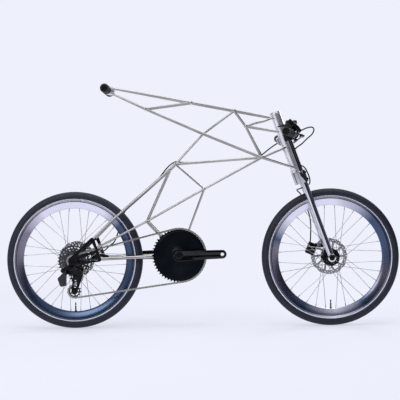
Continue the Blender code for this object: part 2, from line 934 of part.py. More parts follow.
def solve_cage_angle():
    """The cage angle nearest the guess at which a whole, even number of links closes the chain."""
    length = sum(stretch[0] for stretch in chain_path(cage_angle_guess))
    count = 2 * round(length / chain_pitch / 2)
    low = cage_angle_guess - math.radians(14)
    high = cage_angle_guess + math.radians(14)
    low_error = chain_left_over(low, count)
    for attempt in range(40):
        middle = (low + high) / 2
        error = chain_left_over(middle, count)
        if (error > 0) == (low_error > 0):
            low = middle
            low_error = error
        else:
            high = middle
    return (low + high) / 2, count


cage_angle, chain_links = solve_cage_angle()
tension_place, guide_place = cage_places(cage_angle)
path_now = chain_path(cage_angle)
pins = [on_path(path_now, distance) for distance in pin_distances(path_now, chain_links)[:-1]]


def first_pin_turn(stretch_index, centre):
    """The direction from a sprocket's centre to the first pin that lies on it."""
    start = sum(stretch[0] for stretch in path_now[:stretch_index])
    distances = pin_distances(path_now, chain_links)
    seated_pin = next(distance for distance in distances if distance >= start)
    spot, drive = on_path(path_now, seated_pin)
    return math.atan2(spot.y - centre[1], spot.x - centre[0])


def toothed_outline(teeth, phase, points_each=4):
    radius = pitch_radius(teeth)
    root = radius - tooth_root
    tip = radius + tooth_rise
    root_turn = 0.5 * math.pi / teeth
    tip_turn = tooth_tip_half_width / tip
    corners = [(root, -root_turn), (tip, -tip_turn), (tip, tip_turn), (root, root_turn)]
    if points_each == 2:
        corners = [(radius - tooth_gullet, -math.pi / teeth), (tip, 0)]
    outline = []
    for index in range(teeth):
        middle = phase + (2 * index + 1) * math.pi / teeth
        outline += [(reach * math.cos(middle + turn), reach * math.sin(middle + turn)) for reach, turn in corners]
    return outline


def chain():
    """Two strips of side plates, joined by a roller at every second pin, where they step inward."""
    work = bmesh.new()
    spots = [across(spot, drive) for spot, drive in pins]
    high = chain_plate_height / 2
    roller = chain_roller_length / 2
    rings = []
    for index, here in enumerate(spots):
        ahead = (spots[(index + 1) % len(spots)] - here).normalized()
        behind = (here - spots[index - 1]).normalized()
        joined = index % 2 == 0
        near = chain_inner_half_width + (0 if joined else chain_plate_thickness)
        ends = [(here - behind * roller, behind), (here + ahead * roller, ahead)]
        if not joined:
            ends = [(here, (ahead + behind).normalized())]
        for end, along in ends:
            up = along.cross(Vector((0, 1, 0))).normalized()
            ring = {}
            for side in (-1, 1):
                corners = [(near, -high), (near + chain_plate_thickness, -high)]
                corners += [(out, high) for out, low in corners[::-1]]
                ring[side] = [work.verts.new(end + Vector((0, side * out, 0)) + up * rise) for out, rise in corners]
            rings.append((ring, joined))
    for index, (ring, joined) in enumerate(rings):
        following, next_joined = rings[(index + 1) % len(rings)]
        over_pin = joined and next_joined
        for side in (-1, 1):
            for corner in range(4):
                if over_pin and corner == 3:
                    continue
                one, two = ring[side], following[side]
                after = (corner + 1) % 4
                work.faces.new((one[corner], one[after], two[after], two[corner]))
        if over_pin:
            for each in (ring, following):
                work.faces.new((each[-1][0], each[-1][3], each[1][3], each[1][0]))
            work.faces.new((ring[-1][0], ring[1][0], following[1][0], following[-1][0]))
            work.faces.new((ring[-1][3], ring[1][3], following[1][3], following[-1][3]))
    bmesh.ops.recalc_face_normals(work, faces=work.faces)
    return from_work(work)


def cassette():
    """The sprockets on their core, from the largest and innermost one out."""
    phase = first_pin_turn(6, rear_axle_spot)
    core = circle_points((0, 0), sprocket_core_diameter / 2, 12)
    bore = circle_points((0, 0), axle_diameter / 2 + 2 * gap, 12)
    loops = [(bore, rear_hub_split + gap), (core, rear_hub_split + gap)]
    for index in reversed(range(len(sprocket_teeth))):
        middle = sprocket_outer_offset - index * sprocket_spacing
        outline = toothed_outline(sprocket_teeth[index], phase, 2 if index else 4)
        near = middle - sprocket_thickness / 2
        far = middle + sprocket_thickness / 2
        loops += [(core, near), (outline, near), (outline, far), (core, far)]
    loops += [(core, cassette_end), (bore, cassette_end)]
    return loops_round(loops, facing(rear_axle_spot))


def pulley(place, phase):
    half = cage_plate_inner - gap
    boss = circle_points((0, 0), 0.006, 8)
    bore = circle_points((0, 0), cage_bolt_diameter / 2 + 2 * gap, 8)
    outline = toothed_outline(pulley_teeth, phase, 2)
    thick = pulley_thickness / 2
    loops = [(bore, -half), (boss, -half), (boss, -thick), (outline, -thick), (outline, thick), (boss, thick)]
    loops += [(boss, half), (bore, half)]
    return loops_round(loops, facing(place, sprocket_outer_offset))


# Cranks


def chainring():
    """A solid disc with teeth on a thinner edge, and a boss out to the crank arm."""
    phase = first_pin_turn(0, bracket_spot)
    inner = chainring_offset - 0.0020
    outer = inner + chainring_disc_thickness
    boss_end = crank_outer_face - crank_thickness - gap
    bore = circle_points((0, 0), spindle_diameter / 2 + 2 * gap, 12)
    edge = circle_points((0, 0), chainring_disc_radius, 25)
    step = circle_points((0, 0), chainring_boss_radius + 0.010, 25)
    boss = circle_points((0, 0), chainring_boss_radius, 12)
    outline = toothed_outline(chainring_teeth, phase, 2)
    near = chainring_offset - chainring_thickness / 2
    far = chainring_offset + chainring_thickness / 2
    loops = [(bore, inner), (edge, inner), (edge, near), (outline, near), (outline, far), (edge, far)]
    loops += [(edge, outer - 0.0012), (step, outer), (boss, outer + 0.0020), (boss, boss_end), (bore, boss_end)]
    return loops_round(loops, facing(bracket_spot))


def crank_arm(drive_side):
    """The right arm points forward and a little up; the left one is opposite."""
    sign = 1 if drive_side else -1
    end = Vector((math.cos(crank_rise), math.sin(crank_rise))) * crank_length * sign + Vector(bracket_spot)
    middle = crank_outer_face - crank_thickness / 2
    outline = round_hull([(*bracket_spot, crank_root_height / 2), (end.x, end.y, crank_end_height / 2)], 16)
    holes = [circle_points(end, pedal_hole_diameter / 2, 10)]
    holes.append(circle_points(bracket_spot, spindle_diameter / 2 + 2 * gap, 12))
    arm = plate([outline] + holes, crank_thickness, facing((0, 0), sign * middle))
    if drive_side:
        floor = crank_outer_face - crank_bolt_recess
        return cut(arm, [pin(bracket_spot, floor, crank_outer_face + 0.001, crank_recess_diameter, 16)])
    start = bracket_shell_width / 2 + cup_width + gap
    bore = circle_points((0, 0), spindle_diameter / 2 + 2 * gap, 12)
    boss = circle_points((0, 0), 0.0180, 12)
    loops = [(bore, -start), (boss, -start), (boss, -middle), (bore, -middle)]
    sleeve = loops_round(loops, facing(bracket_spot))
    return union([arm, sleeve])


def spindle():
    """The spindle, with the bolt's head that holds the right arm on."""
    radius = spindle_diameter / 2
    face = crank_outer_face
    profile = [
        (0, -face + 0.0005),
        (radius, -face + 0.0005),
        (radius, face - crank_bolt_recess + gap),
        (0.0150, face - crank_bolt_recess + gap),
        (0.0140, face + 0.0030),
        (0.0060, face + 0.0030),
        (0.0060, face - 0.0020),
        (0, face - 0.0020),
    ]
    return turned(profile, facing(bracket_spot), 12)


# Derailleur


def link_frame(pivot):
    """Local X along the link at mid swing, local Y the way it swings inward, local Z its axis."""
    turn = Matrix((link_middle, link_motion, link_axis)).transposed().to_4x4()
    return Matrix.Translation(pivot) @ turn


def knuckle_tongue(pivot, sign):
    """The flat tongue that both links pivot on, with a post toward the part it belongs to."""
    circles = [
        (0, 0, tongue_radius),
        (0, link_spread, tongue_radius),
        (sign * post_offset, 0, tongue_radius),
        (sign * post_offset, link_spread * 0.7, tongue_radius),
    ]
    frame = link_frame(pivot)
    tongue = plate([round_hull(circles, 8)], 2 * tongue_half, frame)
    tools = []
    for reach in (0, link_spread):
        start = frame @ Vector((0, reach, -2 * tongue_half))
        end = frame @ Vector((0, reach, 2 * tongue_half))
        tools.append(rod(start, end, link_pin_diameter + 2 * gap, 6))
    return cut(tongue, tools)


def swing_link(pivot):
    """A forked link: a solid middle, and at each end two ears with a pin between them."""
    far = pivot + link_rest * link_length
    turn = math.atan2(link_rest.dot(link_motion), link_rest.dot(link_middle))
    frame = link_frame(pivot) @ Matrix.Rotation(turn, 4, "Z")
    outline = round_hull([(0, 0, link_radius), (link_length, 0, link_radius)], 8)
    body = plate([outline], 2 * link_half_width, frame)
    slots = []
    pins_here = []
    for end in (pivot, far):
        reach = link_axis * link_slot_half
        slots.append(rod(end - reach, end + reach, 2 * link_slot_radius, 8))
        reach = link_axis * (link_slot_half + 0.0015)
        pins_here.append(rod(end - reach, end + reach, link_pin_diameter - 0.0002, 6))
    return union([cut(body, slots)] + pins_here)


def upper_knuckle():
    tongue = knuckle_tongue(upper_pivot, -1)
    foot = upper_pivot - link_middle * post_offset
    face = end_plate_inner_face + (end_plate_thickness + hanger_thickness) / 2 + gap
    post = pin((foot.x, foot.z), face + 0.002, knuckle_offset + 0.0035, 2 * post_radius, 8)
    flange = pin(hanger_spot, face, face + 0.0028, 2 * knuckle_flange_radius, 12)
    shelf_circles = [(-0.5190, 0.2265, 0.0085), (foot.x, foot.z + 0.001, 0.0045)]
    shelf = plate([round_hull(shelf_circles, 8)], battery_thickness - 0.004, facing((0, 0), battery_offset))
    body = union([flange, post, tongue, shelf])
    return cut(body, [battery_shape(2 * gap)])


def battery_shape(grow=0.0):
    circles = [(x, z, radius + grow / 2) for x, z, radius in battery_corners]
    return plate([round_hull(circles, 8)], battery_thickness + grow, facing((0, 0), battery_offset))


def lower_knuckle():
    tongue = knuckle_tongue(lower_pivot, 1)
    foot = lower_pivot + link_middle * post_offset
    drum_end = -lower_pivot.y - 0.0180
    start = sprocket_outer_offset + cage_plate_inner + cage_plate_thickness + gap
    post = pin((foot.x, foot.z), drum_end - 0.002, -lower_pivot.y + 0.0035, 2 * post_radius, 8)
    drum = pin(cage_spot, start, drum_end, 2 * knuckle_drum_radius, 16)
    return union([drum, post, tongue])


def cage():
    middle = sprocket_outer_offset
    half = cage_plate_inner + cage_plate_thickness / 2
    circles = [(*guide_place, 0.0120), (*tension_place, 0.0120)]
    inner = plate([round_hull(circles, 12)], cage_plate_thickness, facing((0, 0), middle - half))
    circles.append((*cage_spot, 0.0105))
    outer = plate([round_hull(circles, 12)], cage_plate_thickness, facing((0, 0), middle + half))
    thick = cage_bolt_diameter - 0.0002
    bolts = [pin(place, middle - half, middle + half, thick, 8) for place in (guide_place, tension_place)]
    return union([outer, inner] + bolts)


# Rear cross bar


def crossbar_clamp(grow=0.0):
    circles = [(*crossbar_spot, crossbar_clamp_diameter / 2 + grow / 2)]
    circles.append((*clamp_nose, clamp_nose_radius + grow / 2))
    return plate([round_hull(circles, 12)], crossbar_clamp_width + grow, facing((0, 0)))


def crossbar(grow=0.0):
    return pin(crossbar_spot, -crossbar_half_length, crossbar_half_length, crossbar_diameter + grow, 12)


def crossbar_sleeve(side):
    start = crossbar_clamp_width / 2 + gap
    end = crossbar_half_length + 0.003
    sleeve = pin(crossbar_spot, -side * start, -side * end, sleeve_diameter, 16)
    return cut(sleeve, [crossbar(2 * gap)])


# Steering


def leg_side(height):
    """How far out a fork leg's middle is at a height along the steering axis."""
    return fork_end_half_width + (fork_top_half_width - fork_end_half_width) * height / fork_leg_top


def leg_point(height, side, ahead=0.0, outward=0.0):
    return on_steering(height, fork_rake + ahead, side * (leg_side(height) + outward))


def leg_tube(side, grow=0.0):
    return rod(leg_point(0.004, side), leg_point(fork_leg_top, side), fork_leg_diameter + grow, 10)


def fork_leg(side):
    near = fork_end_inner_face
    far = fork_end_outer_face
    lug = pin(front_axle_spot, -side * near, -side * far, fork_end_diameter, 12)
    hole = pin(front_axle_spot, -side * near * 0.8, -side * far * 1.2, axle_diameter + 4 * gap, 12)
    trims = [block((0.1, 0.02, 0.06), Matrix.Translation(across(front_axle_spot, -side * (near - 0.01))))]
    return cut(union([leg_tube(side), lug]), trims + [hole])


def steerer(grow=0.0):
    radius = steerer_diameter / 2
    head = head_tube_top + gap + headset_height + gap
    profile = [
        (0, crown_bottom + 0.001),
        (radius, crown_bottom + 0.001),
        (radius, head),
        (headset_diameter / 2 - 0.001, head),
        (headset_diameter / 2 - 0.001, head + 0.003),
        (radius, head + 0.005),
        (0, head + 0.005),
    ]
    if grow:
        return rod(on_steering(crown_bottom - 0.01), on_steering(head), steerer_diameter + grow, 12)
    return turned(profile, steer_frame, 12)


def lower_crown():
    middle = crown_bottom + crown_height / 2
    wall = fork_leg_diameter / 2 + crown_wall
    circles = [(fork_rake, side * leg_side(middle), wall) for side in (-1, 1)]
    circles.append((0, 0, steerer_diameter / 2 + crown_wall))
    frame = steer_frame @ Matrix.Translation((0, 0, middle))
    body = plate([round_hull(circles, 12)], crown_height, frame)
    body = cut(body, [steerer(2 * gap), leg_tube(-1, 2 * gap), leg_tube(1, 2 * gap)])
    reliefs = []
    for side in (-1, 1):
        spot = steer_frame @ Vector((fork_rake + wall + 0.004, side * leg_side(middle), middle))
        reliefs.append(block((0.016, 0.003, crown_height * 2), Matrix.Translation(spot) @ steer_turn))
    return cut(body, reliefs)


def headset(top):
    inner = (steerer_diameter / 2 + gap) / math.cos(math.pi / 12)
    sleeve = head_tube_bore / 2 - gap
    outer = headset_diameter / 2
    if top:
        face = head_tube_top + gap
        heights = (face - 0.012, face, face + headset_height)
    else:
        face = head_tube_bottom - gap
        heights = (face + 0.012, face, crown_bottom + crown_height + gap)
    profile = [
        (inner, heights[0]),
        (sleeve, heights[0]),
        (sleeve, heights[1]),
        (outer, heights[1]),
        (outer, heights[2]),
        (inner, heights[2]),
    ]
    return turned(profile, steer_frame, 12)


bar_place = on_steering(bar_height, fork_rake + handlebar_lead)


def bar_at(side_offset):
    reach = max(0, abs(side_offset) - handlebar_straight) / (handlebar_half_width - handlebar_straight)
    return Vector((bar_place.x - handlebar_sweep * reach, side_offset, bar_place.z))


def bar_direction(side):
    return (bar_at(side * handlebar_half_width) - bar_at(side * handlebar_straight)).normalized()


def handlebar(grow=0.0):
    end = handlebar_half_width - 0.003
    stops = (-end, -handlebar_straight, handlebar_straight, end)
    return tube([bar_at(stop) for stop in stops], handlebar_diameter + grow, 10)


def bar_clamp(side):
    middle = leg_side(bar_height)
    radius = handlebar_diameter / 2 + bar_clamp_wall
    half = bar_clamp_width / 2
    ring = pin((bar_place.x, bar_place.z), -side * (middle - half), -side * (middle + half), 2 * radius, 12)
    low = leg_point(bar_height - radius * 0.85, side)
    high = leg_point(bar_height + radius * 0.85, side)
    sleeve = rod(low, high, fork_leg_diameter + 2 * bar_clamp_wall, 12)
    return cut(union([ring, sleeve]), [handlebar(2 * gap), leg_tube(side, 2 * gap)])


def grip(side):
    start = bar_at(side * (handlebar_half_width - grip_length))
    end = bar_at(side * handlebar_half_width)
    return cut(rod(start, end, grip_diameter, 12), [handlebar(2 * gap)])


def lever_frame(side):
    """At the lever's pivot: local X away from the bar, local Y outward, local Z the pivot axis."""
    pivot = bar_at(side * lever_position) + Vector((0.036, side * 0.006, -0.008))
    away = Vector((math.cos(lever_droop), 0, -math.sin(lever_droop)))
    axis = Vector((math.sin(lever_droop), 0, math.cos(lever_droop)))
    turn = Matrix((away, Vector((0, side, 0)), axis)).transposed().to_4x4()
    return Matrix.Translation(pivot) @ turn


def lever_body(side):
    middle = bar_at(side * lever_position)
    half = bar_direction(side) * lever_clamp_width / 2
    band = rod(middle - half, middle + half, handlebar_diameter + 2 * bar_clamp_wall, 10)
    high = middle + Vector((-0.012, side * 0.010, 0.046))
    low = middle + Vector((0.033, side * 0.014, 0.004))
    cylinder = rod(high, low, lever_body_diameter, 10)
    neck_start = middle + Vector((0.009, 0, 0.0095))
    neck = rod(neck_start, middle + Vector((0.0165, side * 0.010, 0.0185)), 0.011, 6)
    frame = lever_frame(side)
    lug = plate([round_hull([(0, 0, 0.0062), (-0.010, 0.003, 0.0062)], 8)], 0.005, frame)
    body = union([band, cylinder, neck, lug])
    hole = rod(frame @ Vector((0, 0, -0.02)), frame @ Vector((0, 0, 0.0045)), 0.0040 + 2 * gap, 8)
    end, behind = (front_hose_loop if side < 0 else steering_hose_run)[:2]
    return cut(body, [handlebar(2 * gap), hole, socket(behind, end)])


def lever_blade(side):
    frame = lever_frame(side)
    drop = 0.0025 + gap + lever_blade_thickness / 2
    low = frame @ Matrix.Translation((0, 0, -drop))
    outline = round_hull([(0, 0, 0.0065), (0.003, lever_reach, 0.0045)], 8)
    blade = plate([outline], lever_blade_thickness, low)
    stub = rod(frame @ Vector((0, 0, -drop)), frame @ Vector((0, 0, 0.0024)), 0.0038, 8)
    return union([blade, stub])


def shift_pod():
    middle = bar_at(-shift_pod_position)
    half = bar_direction(-1) * 0.005
    band = rod(middle - half, middle + half, handlebar_diameter + 2 * bar_clamp_wall, 10)
    spot = middle + Vector((-0.005, -0.004, 0.032))
    box = block((0.042, 0.028, 0.034), Matrix.Translation(spot), 0.003)
    parts = [band, box]
    hinge = paddle_hinge()
    for side in (-1, 1):
        lug_place = facing((0, 0), -(hinge.y + side * 0.0125))
        lug = [(hinge.x + 0.009, hinge.z, 0.005), (hinge.x, hinge.z, 0.004)]
        parts.append(plate([round_hull(lug, 6)], 0.0026, lug_place))
    reach = Vector((0, 0.0125, 0))
    parts.append(rod(hinge - reach, hinge + reach, 0.0028, 6))
    return cut(union(parts), [handlebar(2 * gap)])


def paddle_hinge():
    return bar_at(-shift_pod_position) + Vector((-0.0320, -0.004, 0.030))


def shift_paddle():
    hinge = paddle_hinge()
    circles = [(hinge.x, hinge.z, 0.0040), (hinge.x - 0.021, hinge.z - 0.003, 0.0025)]
    blade = plate([round_hull(circles, 8)], 0.0216, facing((0, 0), -hinge.y))
    reach = Vector((0, 0.03, 0))
    return cut(blade, [rod(hinge - reach, hinge + reach, 0.0030 + 2 * gap, 6)])


# Brakes


def caliper_body(place, turn, offset, inward, outward, near, far, half_length):
    """A block over the edge of the rotor, open toward the axle for it; far out along the given turn."""
    frame = facing(place) @ Matrix.Rotation(turn, 4, "Z")
    middle = Vector(((near + far) / 2, 0, -offset - (outward - inward) / 2))
    size = (far - near, 2 * half_length, inward + outward)
    body = block(size, frame @ Matrix.Translation(middle), 0.003)
    slot_end = rotor_diameter / 2 + 0.0015
    slot_middle = Vector(((near - 0.01 + slot_end) / 2, 0, -offset))
    slot_size = (slot_end - near + 0.01, 3 * half_length, caliper_slot)
    slot = block(slot_size, frame @ Matrix.Translation(slot_middle))
    return cut(body, [slot])


def front_caliper():
    offset = front_hub_width / 2 - front_rotor_inset
    body = caliper_body(front_axle_spot, front_caliper_turn, offset, 0.0110, 0.0180, 0.058, 0.092, 0.023)
    leg = leg_point(front_bracket_height, 1)
    circles = [(0.4200, 0.3010, 0.0080), (leg.x, leg.z, 0.0090)]
    arm = plate([round_hull(circles, 8)], 0.0075, facing((0, 0), -0.0532))
    return main_part(cut(union([body, arm]), [leg_tube(1, 2 * gap), socket(*front_hose_end[-2:])]))


def rear_caliper():
    offset = rear_hub_width / 2 - rear_rotor_inset
    body = caliper_body(rear_axle_spot, rear_caliper_turn, offset, 0.0170, 0.0125, 0.058, 0.090, 0.021)
    circles = [(-0.4020, 0.2740, 0.0060), (-0.3700, 0.2700, 0.0050)]
    arm = plate([round_hull(circles, 8)], 0.0080, facing((0, 0), -0.0560))
    stay = tube([at(chain_stay_end, 1), at(chain_stay_bend, 1)], chain_stay_diameter + 2 * gap, 8)
    return main_part(cut(union([body, arm]), [stay, socket(*rear_hose_run[-2:])]))


def hose(points):
    return tube([Vector(point) for point in points], hose_diameter)


def socket(behind, end):
    """The hole that a hose's end sits in, wider and deeper than it by a thin gap."""
    behind, end = Vector(behind), Vector(end)
    wide = (hose_diameter + 2 * gap) / math.cos(math.pi / round_sides)
    return rod(behind, end + (end - behind).normalized() * gap, wide, 8)


def front_hose():
    points = [Vector(point) for point in front_hose_loop]
    for height in front_hose_leg_heights:
        points.append(leg_point(height, -1, 0.002, -fork_leg_diameter / 2 - hose_diameter / 2 - 0.0006))
    points += [on_steering(*place) for place in front_hose_crown]
    points += [Vector(point) for point in front_hose_end]
    return hose(points)


# Finishes

polished = material("polished steel", (0.72, 0.72, 0.74), 0.16, 1.0)
black_metal = material("black metal", (0.020, 0.020, 0.022), 0.35, 0.6)
silver = material("silver alloy", (0.70, 0.70, 0.72), 0.28, 1.0)
steel = material("bright steel", (0.55, 0.55, 0.57), 0.30, 1.0)
rim_blue = material("dark polished rim", (0.10, 0.12, 0.22), 0.18, 0.9)
tyre_rubber = material("tyre rubber", (0.018, 0.018, 0.020), 0.75, 0.0)
soft_rubber = material("soft rubber", (0.025, 0.025, 0.027), 0.80, 0.0)
dark_steel = material("dark steel", (0.10, 0.10, 0.11), 0.35, 0.9)
black_plastic = material("black plastic", (0.022, 0.022, 0.024), 0.45, 0.0)


# Bodies

frame_body = carrier("frame_body")
steering_body = carrier("steering_body", on_steering(0), frame_body)
front_wheel_body = carrier("front_wheel_body", across(front_axle_spot, 0), steering_body)
rear_wheel_body = carrier("rear_wheel_body", across(rear_axle_spot, 0), frame_body)
cassette_body = carrier("cassette_body", across(rear_axle_spot, 0), frame_body)
crank_body = carrier("crank_body", across(bracket_spot, 0), frame_body)
outer_link_body = carrier("outer_link_body", upper_pivot, frame_body)
inner_link_body = carrier("inner_link_body", upper_pivot + link_motion * link_spread, frame_body)
lower_knuckle_body = carrier("lower_knuckle_body", lower_pivot, outer_link_body)
cage_body = carrier("cage_body", across(cage_spot, sprocket_outer_offset), lower_knuckle_body)
guide_pulley_body = carrier("guide_pulley_body", across(guide_place, sprocket_outer_offset), cage_body)
tension_pulley_body = carrier("tension_pulley_body", across(tension_place, sprocket_outer_offset), cage_body)
right_lever_body = carrier("right_lever_body", lever_frame(-1).translation, steering_body)
left_lever_body = carrier("left_lever_body", lever_frame(1).translation, steering_body)
paddle_body = carrier("paddle_body", paddle_hinge(), steering_body)


def right_end(grow=0.0):
    return end_plate(-1, grow)


def left_end(grow=0.0):
    return end_plate(1, grow)


# Frame pieces

piece("head_tube", head_tube(), polished, frame_body)
piece("top_chords", seated(top_chords(), head_tube, crossbar_clamp), polished, frame_body)
piece("head_braces", seated(head_braces(), head_tube, top_chords), polished, frame_body)
piece("lower_chords", seated(lower_chords(), head_braces, top_chords, crossbar_clamp), polished, frame_body)
long_chord_shape = seated(long_chords(), head_braces, lower_chords, right_end, left_end)
piece("long_chords", long_chord_shape, polished, frame_body)
stay_neighbours = (head_braces, lower_chords, long_chords, right_end, left_end)
piece("seat_stays", seated(seat_stays(), *stay_neighbours), polished, frame_body)
piece("bottom_bracket_shell", seated(bracket(), long_chords, right_end, left_end), polished, frame_body)
piece("right_rear_end", right_end(), black_metal, frame_body)
piece("left_rear_end", left_end(), black_metal, frame_body)
piece("crossbar_clamp", cut(crossbar_clamp(), [crossbar(2 * gap)]), silver, frame_body)
piece("rear_crossbar", crossbar(), dark_steel, frame_body)
piece("right_sleeve", crossbar_sleeve(-1), soft_rubber, frame_body)
piece("left_sleeve", crossbar_sleeve(1), soft_rubber, frame_body)
piece("upper_headset", headset(True), black_metal, frame_body)
piece("lower_headset", headset(False), black_metal, frame_body)
rear_half_length = end_plate_inner_face + end_plate_thickness + gap
piece("rear_axle", axle(rear_axle_spot, rear_half_length, 0.0090, 0.0022), steel, frame_body)
piece("rear_caliper", rear_caliper(), black_metal, frame_body)
piece("rear_brake_hose", hose(rear_hose_run), black_plastic, frame_body)
piece("chain", chain(), steel, frame_body)

# Steering pieces

piece("steerer", steerer(), steel, steering_body)
piece("lower_crown", lower_crown(), silver, steering_body)
piece("right_fork_leg", fork_leg(-1), polished, steering_body)
piece("left_fork_leg", fork_leg(1), polished, steering_body)
piece("right_bar_clamp", bar_clamp(-1), black_metal, steering_body)
piece("left_bar_clamp", bar_clamp(1), black_metal, steering_body)
piece("handlebar", handlebar(), black_metal, steering_body)
piece("right_grip", grip(-1), soft_rubber, steering_body)
piece("left_grip", grip(1), soft_rubber, steering_body)
piece("right_lever_mount", lever_body(-1), black_metal, steering_body)
piece("left_lever_mount", lever_body(1), black_metal, steering_body)
piece("right_brake_lever", lever_blade(-1), black_metal, right_lever_body)
piece("left_brake_lever", lever_blade(1), black_metal, left_lever_body)
piece("shift_pod", shift_pod(), black_plastic, steering_body)
piece("shift_paddle", shift_paddle(), black_plastic, paddle_body)
piece("front_axle", axle(front_axle_spot, fork_end_outer_face + gap, 0.0100, 0.0050), steel, steering_body)
piece("front_caliper", front_caliper(), black_metal, steering_body)
piece("front_brake_hose", front_hose(), black_plastic, steering_body)
piece("steering_hose", hose(steering_hose_run), black_plastic, steering_body)

# Wheels

front_half = (front_hub_width / 2, front_hub_width / 2)
rear_half = (rear_hub_split, rear_hub_width / 2)
front_rotor_offset = front_hub_width / 2 - front_rotor_inset
rear_rotor_offset = rear_hub_width / 2 - rear_rotor_inset
front_hub = hub_and_spokes(
    front_axle_spot, front_flange_offset, front_flange_offset, front_half, front_rotor_offset, hub_end_diameter / 2
)
rear_hub = hub_and_spokes(
    rear_axle_spot, rear_far_flange_offset, rear_drive_flange_offset, rear_half, rear_rotor_offset, hub_end_diameter / 2
)
piece("front_tyre", tyre(front_axle_spot), tyre_rubber, front_wheel_body)
piece("front_rim", rim(front_axle_spot), rim_blue, front_wheel_body)
piece("front_hub_and_spokes", front_hub, steel, front_wheel_body)
piece("front_rotor", rotor(front_axle_spot, front_rotor_offset), steel, front_wheel_body)
piece("rear_tyre", tyre(rear_axle_spot), tyre_rubber, rear_wheel_body)
piece("rear_rim", rim(rear_axle_spot), rim_blue, rear_wheel_body)
piece("rear_hub_and_spokes", rear_hub, steel, rear_wheel_body)
piece("rear_rotor", rotor(rear_axle_spot, rear_rotor_offset), steel, rear_wheel_body)

# Drivetrain

piece("cassette", cassette(), dark_steel, cassette_body)
piece("chainring", chainring(), black_metal, crank_body)
piece("right_crank_arm", crank_arm(True), black_metal, crank_body)
piece("left_crank_arm", crank_arm(False), black_metal, crank_body)
piece("spindle", spindle(), steel, crank_body)
piece("upper_knuckle", upper_knuckle(), black_metal, frame_body)
piece("battery_pack", battery_shape(), black_plastic, frame_body)
piece("outer_link", swing_link(upper_pivot), black_metal, outer_link_body)
piece("inner_link", swing_link(upper_pivot + link_motion * link_spread), black_metal, inner_link_body)
piece("lower_knuckle", lower_knuckle(), black_metal, lower_knuckle_body)
piece("pulley_cage", cage(), black_metal, cage_body)
guide_phase = first_pin_turn(4, guide_place)
tension_phase = first_pin_turn(2, tension_place)
piece("guide_pulley", pulley(guide_place, guide_phase), black_plastic, guide_pulley_body)
piece("tension_pulley", pulley(tension_place, tension_phase), black_plastic, tension_pulley_body)
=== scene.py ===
"""Looks of the mini velo bicycle: round polished tubes with small welds, and detailed wheels,
chain, cranks, derailleur, brakes and controls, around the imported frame.

Metres, +Z up. +X points forward, the drive side is -Y."""

import json
import math

import bmesh
import bpy
from mathutils import Matrix, Vector
from mathutils.geometry import convex_hull_2d


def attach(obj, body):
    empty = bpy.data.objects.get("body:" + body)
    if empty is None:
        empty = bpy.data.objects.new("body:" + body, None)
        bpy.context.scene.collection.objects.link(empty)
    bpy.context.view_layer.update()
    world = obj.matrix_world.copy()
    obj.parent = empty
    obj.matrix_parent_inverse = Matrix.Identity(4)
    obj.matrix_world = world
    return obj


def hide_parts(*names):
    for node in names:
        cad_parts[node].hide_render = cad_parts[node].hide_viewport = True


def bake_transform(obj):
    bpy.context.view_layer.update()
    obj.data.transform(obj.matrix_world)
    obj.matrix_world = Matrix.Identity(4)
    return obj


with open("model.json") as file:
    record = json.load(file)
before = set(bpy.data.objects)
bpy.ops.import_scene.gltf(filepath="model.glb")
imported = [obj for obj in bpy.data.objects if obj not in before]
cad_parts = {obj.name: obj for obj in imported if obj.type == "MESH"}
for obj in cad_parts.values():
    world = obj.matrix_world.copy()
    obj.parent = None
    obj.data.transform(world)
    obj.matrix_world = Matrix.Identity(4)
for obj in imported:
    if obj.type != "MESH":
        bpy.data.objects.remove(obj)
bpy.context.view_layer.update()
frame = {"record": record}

# Wheels
wheel_base = 0.974
tyre_diameter = 0.521
tyre_width = 0.035
rim_diameter = 0.469
rim_bed_diameter = 0.460
rim_bed_width = 0.017
rim_shoulder_diameter = 0.440
rim_depth = 0.038
rim_width = 0.024
rim_nose_width = 0.011
spokes_per_wheel = 32
flange_windows = 10
spoke_thickness = 0.0020
spoke_head_radius = 0.0017
spoke_head_reach = 0.00256
nipple_diameter = 0.0034
hub_flange_diameter = 0.066
hub_flange_thickness = 0.0035
hub_barrel_diameter = 0.026
hub_end_diameter = 0.020
spoke_circle_diameter = 0.060
spoke_lean = math.radians(67.5)
spoke_split = 0.0016
axle_diameter = 0.012
front_hub_width = 0.100
rear_hub_width = 0.135
front_flange_offset = 0.031
rear_drive_flange_offset = 0.0215
rear_far_flange_offset = 0.034
rotor_diameter = 0.140
rotor_track = 0.015
rotor_thickness = 0.0018
rotor_carrier_diameter = 0.050
rotor_seat_diameter = 0.034
rotor_arms = 5
rotor_holes = 48
rotor_hole_radius = 0.0019
rotor_hole_rows = (0.0040, 0.0082, 0.0120)
front_rotor_inset = 0.0105
rear_rotor_inset = 0.0150
valve_diameter = 0.006
valve_length = 0.034
valve_turn = math.radians(270.0)

# Steering
head_angle = math.radians(71.0)
fork_rake = 0.0126
head_tube_diameter = 0.038
head_tube_bore = 0.0340
head_tube_bottom = 0.356
head_tube_length = 0.222
head_collar_height = 0.446
head_collar_length = 0.016
head_collar_thickness = 0.002
headset_height = 0.007
headset_diameter = 0.040
steerer_diameter = 0.0286
fork_leg_diameter = 0.0230
fork_leg_top = 0.503
fork_leg_foot = 0.004
fork_top_half_width = 0.036
fork_end_half_width = 0.0575
fork_end_diameter = 0.030
fork_end_inner_face = 0.0503
fork_end_outer_face = 0.0697
crown_bottom = 0.300
crown_height = 0.046
crown_wall = 0.006
handlebar_diameter = 0.0222
handlebar_half_width = 0.270
bar_height = 0.4823
handlebar_lead = 0.026
handlebar_straight = 0.050
handlebar_sweep = 0.046
bar_clamp_width = 0.016
bar_clamp_wall = 0.005
grip_diameter = 0.030
grip_length = 0.125

